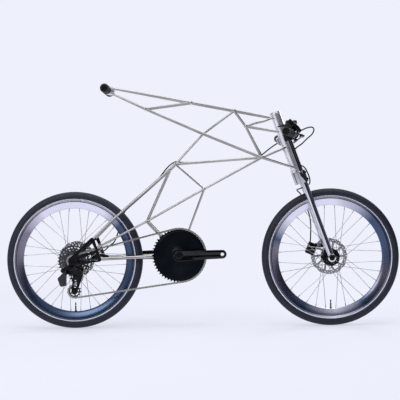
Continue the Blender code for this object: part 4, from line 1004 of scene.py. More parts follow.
def chain_path(angle):
    """The chain's path as pieces of (length, start, heading, signed radius, offsets)."""
    tension, guide = cage_places(angle)
    stops = [
        (Vector(bracket_spot), -pitch_radius(chainring_teeth), chainring_offset),
        (tension, -pitch_radius(pulley_teeth), sprocket_outer_offset),
        (guide, pitch_radius(pulley_teeth), sprocket_outer_offset),
        (Vector(rear_axle_spot), -pitch_radius(sprocket_teeth[0]), sprocket_outer_offset),
    ]
    runs = []
    for here, there in zip(stops, stops[1:] + stops[:1]):
        first, radius_one, drive_one = here
        second, radius_two, drive_two = there
        span = second - first
        heading = math.atan2(span.y, span.x) - math.asin((radius_two - radius_one) / span.length)
        normal = Vector((-math.sin(heading), math.cos(heading)))
        start = first - normal * radius_one
        end = second - normal * radius_two
        runs.append(((end - start).length, start, heading, 0, drive_one, drive_two))
    path = []
    for index, (centre, radius, drive) in enumerate(stops):
        arrive = runs[index - 1][2]
        leave = runs[index][2]
        sweep = (leave - arrive if radius > 0 else arrive - leave) % full_turn
        normal = Vector((-math.sin(arrive), math.cos(arrive)))
        path.append((abs(radius) * sweep, centre - normal * radius, arrive, radius, drive, drive))
        path.append(runs[index])
    return path


def path_length(path):
    return sum(stretch[0] for stretch in path)


def on_path(path, distance):
    """The point and the offset so far along the path."""
    distance = distance % path_length(path)
    for length, start, heading, radius, drive_one, drive_two in path:
        if distance <= length:
            break
        distance -= length
    share = 0
    if drive_one != drive_two:
        share = min(max((distance - chain_square_run) / (length - 2 * chain_square_run), 0), 1)
    drive = drive_one + (drive_two - drive_one) * share
    if not radius:
        return start + Vector((math.cos(heading), math.sin(heading))) * distance, drive
    turn = heading + distance / radius
    centre = start - Vector((math.sin(heading), -math.cos(heading))) * radius
    return centre + Vector((math.sin(turn), -math.cos(turn))) * radius, drive


def pin_distances(path, count):
    """How far along the path each pin lies, every pin one pitch from the last in a straight line."""
    distances = [0.0]
    while len(distances) <= count:
        here = on_path(path, distances[-1])[0]
        step = chain_pitch
        for _ in range(8):
            there = on_path(path, distances[-1] + step)[0]
            step += chain_pitch - (there - here).length
        distances.append(distances[-1] + step)
    return distances


def chain_left_over(angle, count):
    path = chain_path(angle)
    return pin_distances(path, count)[-1] - path_length(path)


def solve_cage_angle():
    """The cage angle nearest the guess at which a whole, even number of links closes the chain."""
    count = 2 * round(path_length(chain_path(cage_angle_guess)) / chain_pitch / 2)
    low = cage_angle_guess - math.radians(14)
    high = cage_angle_guess + math.radians(14)
    low_error = chain_left_over(low, count)
    for _ in range(40):
        middle = (low + high) / 2
        error = chain_left_over(middle, count)
        if (error > 0) == (low_error > 0):
            low = middle
            low_error = error
        else:
            high = middle
    return (low + high) / 2, count


cage_angle, chain_links = solve_cage_angle()
tension_place, guide_place = cage_places(cage_angle)
path_now = chain_path(cage_angle)
pins_along = pin_distances(path_now, chain_links)


def first_pin_turn(stretch_index, centre):
    """The direction from a sprocket's centre to the first pin that lies on it."""
    start = path_length(path_now[:stretch_index])
    spot = on_path(path_now, next(distance for distance in pins_along if distance >= start))[0]
    return math.atan2(spot.y - centre[1], spot.x - centre[0])


def toothed_outline(teeth, phase, rise, flat=tooth_tip_half_width):
    """Teeth with rounded valleys that the rollers sit in."""
    radius = pitch_radius(teeth)
    outline = []
    for index in range(teeth):
        pin_turn = phase + index * full_turn / teeth
        for bend in (64, 38, 0, -38, -64):
            spot = Vector((radius, 0)) + Vector(polar(tooth_valley_radius, math.radians(180 + bend)))
            spot.rotate(Matrix.Rotation(pin_turn, 2))
            outline.append(tuple(spot))
        for side in (-1, 1):
            tip_turn = pin_turn + math.pi / teeth + side * flat / (radius + rise)
            outline.append(polar(radius + rise, tip_turn))
    return outline


def link_outline(length):
    """A link plate's waisted outline, from one pin to the next."""
    high = chain_plate_height / 2
    ahead = arc((length, 0), high, -68, 68, 7)
    behind = arc(centre_line, high, 112, 248, 7)
    return ahead + [(length / 2, high * 0.70)] + behind + [(length / 2, -high * 0.70)]


def chain():
    """Every link's two side plates, with a roller and a riveted pin at every joint."""
    work = bmesh.new()
    spots = [across(*on_path(path_now, distance)) for distance in pins_along[:-1]]
    inner_wall = chain_inner_half_width + 0.0002
    for index, here in enumerate(spots):
        ahead = spots[(index + 1) % len(spots)]
        along = (ahead - here).normalized()
        up = along.cross(Vector((0, 1, 0))).normalized()
        out = up.cross(along).normalized()
        near = inner_wall + (chain_plate_thickness + 0.0001 if index % 2 else 0)
        far = near + chain_plate_thickness

        def ring(outline, offset):
            return [here + along * x + up * z + out * offset for x, z in outline]

        outline = link_outline((ahead - here).length)
        for side in (-1, 1):
            add_prism(work, ring(outline, side * near), ring(outline, side * far))
        roller = (chain_roller_radius, inner_wall - 0.0001)
        for radius, half in (roller, (chain_rivet_radius, chain_outer_half_width)):
            circle = circle_points(radius, 10)
            add_prism(work, ring(circle, -half), ring(circle, half))
    bmesh.ops.recalc_face_normals(work, faces=work.faces)
    return from_work(work)


def sprocket(index, phase):
    """One sprocket with its windows between arms, or solid where it is small."""
    teeth = sprocket_teeth[index]
    core = sprocket_core_diameter / 2
    near = core + 0.0035
    far = pitch_radius(teeth) - 0.0095
    outlines = [toothed_outline(teeth, phase, sprocket_tooth_rise), circle_points(core - 0.0015, 32)]
    for arm in range(sprocket_arms) if far - near > 0.006 else ():
        start = math.radians(360 / sprocket_arms * arm + 7 * index)
        stop = start + full_turn / sprocket_arms - 0.0055 / far
        outer = [start + step * (stop - start) / 6 for step in range(7)]
        inner = [stop - 0.30 - step * (stop - start - 0.0045 / near) / 4 for step in range(5)]
        outlines.append(ring_window(far, outer, near, inner))
    middle = sprocket_outer_offset - index * sprocket_spacing
    return plate(outlines, sprocket_thickness, facing(rear_axle_spot, middle))


def cassette():
    """The sprockets on their core, with a ringed end cap."""
    phase = first_pin_turn(6, rear_axle_spot)
    shapes = [sprocket(index, phase) for index in range(len(sprocket_teeth))]
    inner = axle_diameter / 2 + 2 * gap
    core = sprocket_core_diameter / 2
    profile = [(inner, rear_hub_split + gap), (core, rear_hub_split + gap)]
    for index in reversed(range(1, len(sprocket_teeth))):
        edge = sprocket_outer_offset - index * sprocket_spacing + sprocket_spacing / 2
        for sunk, shift in ((0, -0.0012), (0.0012, -0.0006), (0.0012, 0.0006), (0, 0.0012)):
            profile.append((core - sunk, edge + shift))
    profile += [(core, cassette_end - 0.0016), (core - 0.0024, cassette_end), (inner, cassette_end)]
    return gather(shapes + [turned(profile, facing(rear_axle_spot), 40)])


def pulley(place, phase):
    """A toothed pulley with five windows, a bearing and its seals."""
    teeth = toothed_outline(pulley_teeth, phase, pulley_tooth_rise, pulley_tooth_half_width)
    outlines = [teeth, circle_points(pulley_bearing_radius, 24)]
    for start in range(0, 360, 360 // pulley_windows):
        far = arc(centre_line, pulley_window_far, start, start + 52, 6)
        outlines.append(far + arc(centre_line, pulley_window_near, start + 46, start + 6, 5))
    middle = facing(place, sprocket_outer_offset)
    half = cage_plate_inner - gap
    inner = cage_bolt_diameter / 2 + gap
    bearing = mirrored([(inner, half), (0.0050, half), (0.0064, 0.0016)])
    toothed = soften(plate(outlines, pulley_thickness, middle), 0.0002, 1)
    return gather([toothed, turned(bearing, middle, 32)])


# Cranks

crank_middle = crank_outer_face - crank_thickness / 2


def chainring():
    """A solid dished disc with tall teeth on a thinner edge, and a boss out to the crank arm."""
    edge = chainring_disc_radius
    boss = chainring_boss_radius
    teeth = toothed_outline(chainring_teeth, first_pin_turn(0, bracket_spot), ring_tooth_rise)
    outlines = [teeth, circle_points(edge - 0.006, 96)]
    toothed = plate(outlines, chainring_thickness, facing(bracket_spot, chainring_offset))
    low = chainring_offset - 0.0020
    high = low + chainring_disc_thickness
    boss_end = crank_outer_face - crank_thickness - gap
    inner = spindle_diameter / 2 + gap
    profile = [
        (inner, low), (edge - 0.001, low), (edge, low + 0.0005), (edge, high - 0.0016),
        (edge - 0.0012, high - 0.0008), (edge - 0.006, high - 0.0004), (edge - 0.0066, high - 0.0009),
        (boss + 0.016, high - 0.0009), (boss + 0.012, high), (boss + 0.004, high + 0.0010),
        (boss + 0.001, high + 0.0030), (boss, boss_end - 0.0008), (boss - 0.0008, boss_end),
        (inner, boss_end),
    ]
    return gather([soften(toothed, 0.0003, 1), turned(profile, facing(bracket_spot), 128)])


def along_crank(side, reach):
    """A spot so far along a crank arm from the spindle; the drive side's arm is side -1."""
    return Vector(polar(-side * reach, crank_rise, bracket_spot))


def crank_arm(side):
    """A forged arm with rounded edges and a long hollow in its outer face."""
    end = along_crank(side, crank_length)
    waist_circle = (*along_crank(side, crank_length * crank_waist_share), crank_waist_radius)
    root_circle = (*bracket_spot, crank_root_height / 2 - 0.001)
    end_circle = (*end, crank_end_height / 2 - 0.001)
    thickness = crank_thickness - 0.0004
    middle = -side * crank_middle
    arm = band([root_circle, waist_circle], thickness, middle, 40)
    arm = union([arm, band([waist_circle, end_circle], thickness, middle, 32)])
    hollow = [(0.042, 0.0085), (crank_length - 0.036, 0.0060)]
    hollow = [(*along_crank(side, reach), radius) for reach, radius in hollow]
    ends = [-side * (crank_middle + reach) for reach in (-0.02, 0.02)]
    tools = [
        band(hollow, 2 * (crank_hollow_depth + 0.001), -side * (crank_outer_face + 0.001)),
        pin(end, *ends, pedal_hole_diameter, 32),
        pin(bracket_spot, *ends, spindle_diameter + 2 * gap, 40),
    ]
    if side < 0:
        floor = crank_outer_face - crank_bolt_recess
        tools.append(pin(bracket_spot, floor, crank_outer_face + 0.001, crank_recess_diameter, 48))
    arm = soften(cut(arm, tools), crank_edge, 3)
    if side < 0:
        return arm
    start = -bracket_shell_width / 2 - cup_width - gap
    inner = spindle_diameter / 2 + gap
    rim = [(0.0172, start), (0.0180, start - 0.001), (0.0180, middle)]
    collar = turned([(inner, start), *rim, (inner, middle)], facing(bracket_spot), 48)
    return gather([arm, collar])


def pedal_insert(side):
    """The steel thread insert at the arm's end."""
    near = crank_outer_face - crank_thickness + 0.0006
    far = crank_outer_face - 0.0002
    profile = [(0.0062, near), (0.0069, near), (0.0069, far), (0.0062, far)]
    for step in range(9):
        profile.append((0.0059 if step % 2 else 0.0062, far - 0.001 - step * pedal_thread_pitch))
    matrix = facing(along_crank(side, crank_length)) @ Matrix.Diagonal((1, 1, -side, 1))
    return turned(profile, matrix, 32)


def spindle():
    """The spindle, with the bolt's head that holds the right arm on."""
    radius = spindle_diameter / 2
    face = crank_outer_face
    profile = [
        (0, -face + 0.0035), (radius - 0.004, -face + 0.0035), (radius - 0.003, -face + 0.0008),
        (radius - 0.0005, -face + 0.0008), (radius, -face + 0.0013),
        (radius, face - crank_bolt_recess + gap), (0.0150, face - crank_bolt_recess + gap),
        (0.0140, face + 0.0026), (0.0132, face + 0.0030), (0.0070, face + 0.0030),
        (0.0064, face + 0.0024), (0.0064, face - 0.0020), (0, face - 0.0020),
    ]
    return turned(profile, facing(bracket_spot), 48)


# Derailleur


def link_frame(pivot):
    """Local X along the link at mid swing, local Y the way it swings inward, local Z its axis."""
    return Matrix.Translation(pivot) @ Matrix((link_middle, link_motion, link_axis)).transposed().to_4x4()


def knuckle_tongue(pivot, sign):
    """The flat tongue that both links pivot on, with a post toward the part it belongs to."""
    spots = ((0, 0), (0, link_spread), (sign * post_offset, 0), (sign * post_offset, link_spread * 0.7))
    return band([(*spot, tongue_radius) for spot in spots], 2 * tongue_half, link_frame(pivot), 20)


def swing_link(pivot):
    """A forked link: a solid middle, and at each end two ears with a pin between them."""
    turn = math.atan2(link_rest.dot(link_motion), link_rest.dot(link_middle))
    matrix = link_frame(pivot) @ Matrix.Rotation(turn, 4, "Z")
    body = band([(0, 0, link_radius), (link_length, 0, link_radius)], 2 * link_half_width, matrix)
    ends = (pivot, pivot + link_rest * link_length)
    slots = [through(end, link_axis * link_slot_half, 2 * link_slot_radius, 24) for end in ends]
    reach = link_axis * (link_half_width + 0.0004)
    pins = [through(end, reach, link_pin_diameter - 0.0002, 16) for end in ends]
    return union([soften(cut(body, slots), 0.0005)] + pins)


def upper_knuckle():
    foot = upper_pivot - link_middle * post_offset
    face = end_plate_inner_face + (end_plate_thickness + hanger_thickness) / 2 + gap
    post = pin((foot.x, foot.z), face + 0.002, knuckle_offset + 0.0035, 2 * post_radius, 24)
    flange = pin(hanger_spot, face, face + 0.0028, 2 * knuckle_flange_radius, 40)
    shelf_circles = [(-0.5190, 0.2265, 0.0085), (foot.x, foot.z + 0.001, 0.0045)]
    shelf = band(shelf_circles, battery_thickness - 0.004, battery_offset, 20)
    return soften(union([flange, post, knuckle_tongue(upper_pivot, -1), shelf]), fine_edge)


def battery_pack():
    """A small cased pack with rounded edges and a latch rib."""
    body = soften(band(battery_corners, battery_thickness, battery_offset), 0.0026, 3)
    tilt = Matrix.Rotation(math.radians(-20), 4, "Y")
    rib_place = Matrix.Translation(across((-0.5262, 0.1885), battery_offset)) @ tilt
    rib = soften(block((0.014, battery_thickness * 0.6, 0.0016), rib_place), fine_edge, 1)
    return union([body, rib])


def lower_knuckle():
    foot = lower_pivot + link_middle * post_offset
    radius = knuckle_drum_radius
    end = -lower_pivot.y - 0.0180
    start = sprocket_outer_offset + cage_plate_inner + cage_plate_thickness + gap
    post = pin((foot.x, foot.z), end - 0.002, -lower_pivot.y + 0.0035, 2 * post_radius, 24)
    profile = [
        (0, start), (radius - 0.0008, start), (radius, start + 0.0008), (radius, end - 0.006),
        (radius - 0.0008, end - 0.0055), (radius - 0.0008, end - 0.0045), (radius, end - 0.004),
        (radius, end - 0.001), (radius - 0.001, end), (0, end),
    ]
    return union([turned(profile, facing(cage_spot), 48), post, knuckle_tongue(lower_pivot, 1)])


def pulley_cage():
    """Two thin plates with a window each, joined by the pulley bolts."""
    half = cage_plate_inner + cage_plate_thickness / 2
    low = sprocket_outer_offset - half
    high = sprocket_outer_offset + half
    circles = [(*guide_place, cage_end_radius), (*tension_place, cage_end_radius)]
    spots = [guide_place.lerp(tension_place, share) for share in (0.33, 0.67)]
    window = round_hull([(*spot, cage_window_radius) for spot in spots], 16)
    inner = band(circles, cage_plate_thickness, low, 32, [window])
    outer = band([*circles, (*cage_spot, cage_pivot_radius)], cage_plate_thickness, high, 32, [window])
    shapes = [soften(outer, 0.0004), soften(inner, 0.0004)]
    for place in (guide_place, tension_place):
        shapes.append(pin(place, low - 0.001, high + 0.0012, cage_bolt_diameter - 0.0002, 24))
    return union(shapes)


# Rear cross bar


def crossbar_clamp():
    circles = [(*crossbar_spot, crossbar_clamp_diameter / 2), (*clamp_nose, clamp_nose_radius)]
    body = soften(band(circles, crossbar_clamp_width, 0.0, 32), 0.0014, 3)
    split = across((crossbar_spot[0] - 0.012, crossbar_spot[1]), 0)
    return cut(body, [block((0.030, 0.05, 0.0016), Matrix.Translation(split))])


def rear_crossbar():
    half = crossbar_half_length
    radius = crossbar_diameter / 2
    profile = mirrored([(0, half), (radius - 0.0008, half), (radius, half - 0.0008)])
    return turned(profile, facing(crossbar_spot), 40)


def sleeve_profile(start, end, radius, inner, ridge, pitch):
    """A rubber sleeve's profile: rings along it and a rolled rim at each end."""
    profile = [(inner, start), (radius - 0.001, start), (radius, start + 0.001), (radius, start + 0.004)]
    for index in range(int((end - start - 0.010) / pitch)):
        low = start + 0.005 + index * pitch
        for sunk, share in ((ridge, 0), (ridge, 0.3), (0.0001, 0.5), (0.0001, 0.8)):
            profile.append((radius - sunk, low + pitch * share))
    return profile + [(radius, end - 0.004), (radius, end - 0.001), (radius - 0.001, end), (inner, end)]


def sleeve(side):
    start = crossbar_clamp_width / 2 + gap
    end = crossbar_half_length + 0.003
    profile = sleeve_profile(start, end, sleeve_diameter / 2, crossbar_diameter / 2 + gap, 0.0008, 0.0050)
    return turned(profile, facing(crossbar_spot) @ Matrix.Diagonal((1, 1, -side, 1)), 48)


# Steering


def leg_side(height):
    """How far out a fork leg's middle is at a height along the steering axis."""
    return fork_end_half_width + (fork_top_half_width - fork_end_half_width) * height / fork_leg_top


def leg_point(height, side, ahead=0.0, outward=0.0):
    return on_steering(height, fork_rake + ahead, side * (leg_side(height) + outward))


def leg_tube(side, grow=0.0):
    ends = [leg_point(height, side) for height in (fork_leg_foot, fork_leg_top)]
    return rod(*ends, fork_leg_diameter + grow, 48)


def fork_leg(side):
    near = fork_end_inner_face
    far = fork_end_outer_face
    lug = soften(pin(front_axle_spot, -side * near, -side * far, fork_end_diameter, 48), 0.001)
    hole = pin(front_axle_spot, -side * near * 0.8, -side * far * 1.2, axle_diameter + 2 * gap, 32)
    trim = block((0.1, 0.02, 0.06), Matrix.Translation(across(front_axle_spot, -side * (near - 0.01))))
    flat = steer_turn @ Matrix.Diagonal((1, 1, 0.12, 1))
    cap = ball(leg_point(fork_leg_top, side), fork_leg_diameter / 2, flat)
    return cut(union([leg_tube(side), lug, cap]), [trim, hole])


def steerer():
    radius = steerer_diameter / 2
    head = head_tube_top + headset_height + 2 * gap
    top = head + 0.0036
    cap = headset_diameter / 2 - 0.001
    profile = [
        (0, crown_bottom + 0.001), (radius, crown_bottom + 0.001), (radius, head),
        (cap - fine_edge, head), (cap, head + fine_edge), (cap, head + 0.0024), (cap - 0.001, top),
        (0.0085, head + 0.0050), (0.0078, top), (0, top),
    ]
    bolt = bolt_head(on_steering(top), steer_up, 0.0048, 0.0016)
    return union([turned(profile, steer_frame, 64), bolt])


def lower_crown():
    wall = fork_leg_diameter / 2 + crown_wall
    circles = [(fork_rake, side * leg_side(crown_middle), wall) for side in (-1, 1)]
    circles.append((0, 0, steerer_diameter / 2 + crown_wall))
    matrix = steer_frame @ Matrix.Translation((0, 0, crown_middle))
    body = soften(band(circles, crown_height, matrix, 40), 0.0030, 3)
    tools = []
    for side in (-1, 1):
        split = leg_point(crown_middle, side, wall + 0.004)
        tools.append(block((0.016, 0.0022, crown_height * 2), Matrix.Translation(split) @ steer_turn))
        relief = on_steering(crown_middle, fork_rake - 0.024, side * 0.024)
        tools.append(through(relief, steer_up * 0.05, 0.010))
    return cut(body, tools + [leg_tube(-1, 2 * gap), leg_tube(1, 2 * gap)])


def headset(top):
    inner = steerer_diameter / 2 + gap
    sleeve = head_tube_bore / 2 - gap
    outer = headset_diameter / 2
    if top:
        low = head_tube_top + gap
        high = low + headset_height
    else:
        low = head_tube_bottom - gap
        high = crown_bottom + crown_height + gap
    sign = 1 if top else -1
    ease = sign * 0.0008
    groove = low + (high - low) * 0.45
    profile = [
        (inner, low - sign * 0.012), (sleeve, low - sign * 0.012), (sleeve, low),
        (outer - fine_edge, low), (outer, low + ease), (outer, groove - ease * 0.6),
        (outer - 0.0009, groove), (outer, groove + ease * 0.6), (outer, high - ease),
        (outer - fine_edge, high), (inner, high),
    ]
    return turned(profile, steer_frame, 64)


bar_place = on_steering(bar_height, fork_rake + handlebar_lead)
bar_bore = handlebar_diameter + 2 * gap
bar_band = handlebar_diameter + 2 * bar_clamp_wall


def bar_at(side_offset):
    reach = max(0, abs(side_offset) - handlebar_straight) / (handlebar_half_width - handlebar_straight)
    return Vector((bar_place.x - handlebar_sweep * reach, side_offset, bar_place.z))


def bar_direction(side):
    return (bar_at(side * handlebar_half_width) - bar_at(side * handlebar_straight)).normalized()


def handlebar():
    """The bar, with its bends eased into short curves."""
    end = handlebar_half_width - 0.003
    points = []
    for step in range(-30, 31):
        offset = end * step / 30
        near = [bar_at(offset + shift) for shift in (-0.012, -0.004, 0.004, 0.012)]
        points.append(sum(near, Vector()) / 4 if abs(step) < 30 else bar_at(offset))
    return tube(points, handlebar_diameter, 32)


def bar_clamp(side):
    middle = leg_side(bar_height)
    radius = bar_band / 2
    half = bar_clamp_width / 2
    faces = (-side * (middle - half), -side * (middle + half))
    ring = pin((bar_place.x, bar_place.z), *faces, 2 * radius, 40)
    ends = [leg_point(bar_height + shift * radius * 0.85, side) for shift in (-1, 1)]
    body = soften(union([ring, rod(*ends, fork_leg_diameter + 2 * bar_clamp_wall, 40)]), 0.0010)
    split = Vector((bar_place.x, side * middle, bar_place.z))
    slot = block((0.05, 0.05, 0.0012), Matrix.Translation(split + Vector((0.028, 0, 0))))
    return cut(body, [slot, through(split, Vector((0, 0.05, 0)), bar_bore, 40), leg_tube(side, 2 * gap)])


def grip(side):
    start = bar_at(side * (handlebar_half_width - grip_length))
    along = bar_at(side * handlebar_half_width) - start
    profile = sleeve_profile(0, along.length, grip_diameter / 2, bar_bore / 2, 0.0007, 0.0036)
    return turned(profile, aimed(start, along), 48)


def lever_frame(side):
    """At the lever's pivot: local X away from the bar, local Y outward, local Z the pivot axis."""
    pivot = bar_at(side * lever_position) + Vector((0.036, side * 0.006, -0.008))
    away = Vector((math.cos(lever_droop), 0, -math.sin(lever_droop)))
    axis = Vector((math.sin(lever_droop), 0, math.cos(lever_droop)))
    return Matrix.Translation(pivot) @ Matrix((away, (0, side, 0), axis)).transposed().to_4x4()


def lever_mount(side):
    """The clamp band, the master cylinder with its reservoir cap, and the lug for the lever."""
    middle = bar_at(side * lever_position)
    half = bar_direction(side) * lever_clamp_width / 2
    high = middle + Vector((-0.012, side * 0.010, 0.046))
    along = middle + Vector((0.033, side * 0.014, 0.004)) - high
    radius = lever_body_diameter / 2
    length = along.length
    profile = [
        (0, 0), (radius - 0.0016, 0), (radius, 0.0016), (radius, length * 0.30),
        (radius - 0.0009, length * 0.31), (radius - 0.0009, length * 0.35), (radius, length * 0.36),
        (radius, length * 0.72), (radius - 0.0025, length * 0.84), (radius - 0.0030, length - 0.001),
        (radius - 0.0042, length), (0, length),
    ]
    cylinder = turned(profile, aimed(high, along), 40)
    neck_ends = [middle + Vector(spot) for spot in ((0.009, 0, 0.0095), (0.0165, side * 0.010, 0.0185))]
    neck = rod(*neck_ends, 0.011, 24)
    place = lever_frame(side)
    lug = band([(0, 0, lever_boss_radius), (-0.010, 0.003, lever_boss_radius)], 0.005, place)
    clamp = soften(through(middle, half, bar_band, 40), fine_edge)
    body = soften(union([clamp, cylinder, neck, lug]), fine_edge)
    hole = rod(place @ Vector((0, 0, -0.02)), place @ Vector((0, 0, 0.0045)), 0.0040 + 2 * gap)
    return cut(body, [through(middle, half * 3, bar_bore, 40), hole])


def brake_lever(side):
    """A slim blade, thicker at the pivot, with a hooked tip."""
    place = lever_frame(side)
    drop = 0.0025 + gap + lever_blade_thickness / 2
    low = place @ Matrix.Translation((0, 0, -drop))
    spots = (
        (0, 0, lever_boss_radius), (0.0035, 0.35, 0.0042), (0.0008, 0.72, 0.0038), (0.0030, 1, 0.0042),
    )
    circles = [(away, lever_reach * share, radius) for away, share, radius in spots]
    parts = [band(ends, lever_blade_thickness, low, 20) for ends in zip(circles, circles[1:])]
    stub = rod(place @ Vector((0, 0, -drop)), place @ Vector((0, 0, 0.0024)), 0.0038)
    return union([soften(union(parts), 0.0014, 3), stub])


paddle_hinge = bar_at(-shift_pod_position) + Vector((-0.0320, -0.004, 0.030))


def shift_pod():
    """The wireless shifter's case on its band, with lugs for the paddle."""
    middle = bar_at(-shift_pod_position)
    half = bar_direction(-1) * 0.005
    case = block(shift_pod_size, Matrix.Translation(middle + Vector((-0.005, -0.004, 0.032))))
    parts = [through(middle, half, bar_band, 40), soften(case, 0.0055, 4)]
    hinge = paddle_hinge
    lug = [(hinge.x + 0.009, hinge.z, 0.005), (hinge.x, hinge.z, 0.004)]
    parts += [band(lug, 0.0026, -(hinge.y + side * hinge_half_width), 20) for side in (-1, 1)]
    parts.append(through(hinge, Vector((0, hinge_half_width, 0)), 0.0028, 16))
    return cut(union(parts), [through(middle, half * 4, bar_bore, 40)])


def shift_paddle():
    hinge = paddle_hinge
    circles = [(hinge.x, hinge.z, 0.0040), (hinge.x - 0.021, hinge.z - 0.003, 0.0025)]
    blade = soften(band(circles, 0.0216, -hinge.y), 0.0012, 3)
    return cut(blade, [through(hinge, Vector((0, 0.03, 0)), 0.0030 + 2 * gap)])


# Brakes


def caliper_body(place, turn, offset, inward, outward, far, half_length):
    """A finned block over the rotor's edge, open toward the axle, its far end out along the turn."""
    near = caliper_near
    width = inward + outward
    middle = Vector(((near + far) / 2, 0, -offset - (outward - inward) / 2))
    matrix = facing(place) @ Matrix.Rotation(turn, 4, "Z")

    def cutter(size, spot):
        return block(size, matrix @ Matrix.Translation(spot))

    body = soften(cutter((far - near, 2 * half_length, width), middle), 0.0045, 3)
    slot_end = rotor_diameter / 2 + 0.0015
    slot = (slot_end - near + 0.01, 3 * half_length, caliper_slot)
    tools = [cutter(slot, ((near - 0.01 + slot_end) / 2, 0, -offset))]
    for step in (-1.5, -0.5, 0.5, 1.5):
        tools.append(cutter((0.0050, 0.0016, width * 1.2), (far, step * half_length * 0.34, middle.z)))
    pistons = []
    for side in (-1, 1):
        reaches = [side * (width / 2 - sunk) for sunk in (0.003, 0.0002)]
        ends = [matrix @ (middle + Vector((0, 0, reach))) for reach in reaches]
        pistons.append(soften(rod(*ends, piston_diameter, 40), 0.0004))
    return gather([cut(body, tools)] + pistons)


def front_caliper():
    place = (front_axle_spot, front_caliper_turn, front_rotor_offset)
    body = caliper_body(*place, 0.0110, 0.0180, 0.092, 0.023)
    leg = leg_point(front_bracket_height, 1)
    arm = band([(0.4200, 0.3010, 0.0080), (leg.x, leg.z, 0.0090)], 0.0075, -0.0532)
    return gather([body, main_part(cut(arm, [leg_tube(1, 2 * gap)]))])


def rear_caliper():
    place = (rear_axle_spot, rear_caliper_turn, rear_rotor_offset)
    body = caliper_body(*place, 0.0170, 0.0125, 0.090, 0.021)
    arm = band([(-0.4020, 0.2740, 0.0060), (-0.3700, 0.2700, 0.0050)], 0.0080, -0.0560)
    stay = tube([at(chain_stay_end, 1), at(chain_stay_bend, 1)], chain_stay_diameter + 2 * gap)
    return gather([body, main_part(cut(arm, [stay]))])


def smooth_route(points, steps=6):
    """A route's own points with a smooth curve run through them, and then eased."""
    ends = [points[0] * 2 - points[1]] + points + [points[-1] * 2 - points[-2]]
    route = []
    for before, here, there, after in zip(ends, ends[1:], ends[2:], ends[3:]):
        for step in range(steps):
            t = step / steps
            bend = (2 * before - 5 * here + 4 * there - after) * t * t
            twist = (3 * here - before - 3 * there + after) * t * t * t
            route.append(0.5 * (2 * here + (there - before) * t + bend + twist))
    route.append(points[-1])
    for _ in range(hose_easing):
        eased = [(one + 2 * two + three) / 4 for one, two, three in zip(route, route[1:], route[2:])]
        route = [route[0]] + eased + [route[-1]]
    return route


def hose(name, points, bend=()):
    """A brake hose on its route; both ends go into the bicycle."""
    route = smooth_route([Vector(point) for point in points])
    shape = finished(name + "_look", tube(route, hose_diameter, 16), black_plastic)
    if bend:
        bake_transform(shape)
    else:
        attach(shape, body_of_node[name])
    stand_for(name)


# Finishes


def set_inputs(tree, made, inputs):
    for name, value in inputs.items():
        if isinstance(value, bpy.types.NodeSocket):
            tree.links.new(value, made.inputs[name])
        else:
            made.inputs[name].default_value = value


def add_node(tree, kind, inputs=(), **settings):
    """A shader node with its settings; its inputs are numbers, colours or other nodes' outputs."""
    made = tree.nodes.new("ShaderNode" + kind)
    for name, value in settings.items():
        setattr(made, name, value)
    set_inputs(tree, made, dict(inputs))
    return made


def object_space(tree):
    return add_node(tree, "TexCoord").outputs["Object"]


def noise(tree, scale, detail=3.0):
    """A noise texture in the object's own space."""
    inputs = {"Vector": object_space(tree), "Scale": scale, "Detail": detail}
    return add_node(tree, "TexNoise", inputs).outputs["Fac"]


def spread(tree, value, low, high, start=0.3, stop=0.7, **settings):
    """The value, from one range, spread over another."""
    inputs = {"Value": value, "From Min": start, "From Max": stop, "To Min": low, "To Max": high}
    return add_node(tree, "MapRange", inputs, **settings).outputs["Result"]


def new_tree(name):
    made = bpy.data.materials.new(name)
    made.use_nodes = True
    return made, made.node_tree


def surface(name, dark, light, rough, metallic, patch=14.0, grain=900.0, depth=0.00002, coat=0.0):
    """A finish whose colour drifts between two tones, with uneven gloss and a fine grain."""
    made, tree = new_tree(name)
    share = spread(tree, noise(tree, patch, 4.0), 0.0, 1.0)
    tones = add_node(tree, "Mix", {0: share, 6: (*dark, 1.0), 7: (*light, 1.0)}, data_type="RGBA")
    fine = noise(tree, grain, 2.0)
    bump = add_node(tree, "Bump", {"Strength": 0.4, "Distance": depth, "Height": fine})
    inputs = {
        "Base Color": tones.outputs[2],
        "Roughness": spread(tree, fine, *rough),
        "Metallic": metallic,
        "Normal": bump.outputs["Normal"],
    }
    if coat:
        inputs.update({"Coat Weight": coat, "Coat Roughness": 0.08})
    set_inputs(tree, tree.nodes["Principled BSDF"], inputs)
    return made


def darken_above(made, low, high, keep):
    """Dims a finish upwards, from its full colour at one height to the kept share at another: a painted
    dark reflection.
    """
    tree = made.node_tree
    colour = tree.nodes["Principled BSDF"].inputs["Base Color"]
    height = add_node(tree, "SeparateXYZ", {0: object_space(tree)}).outputs["Z"]
    share = spread(tree, height, 1.0, keep, low, high)
    inputs = {0: colour.links[0].from_socket, "Scale": share}
    tree.links.new(add_node(tree, "VectorMath", inputs, operation="SCALE").outputs[0], colour)


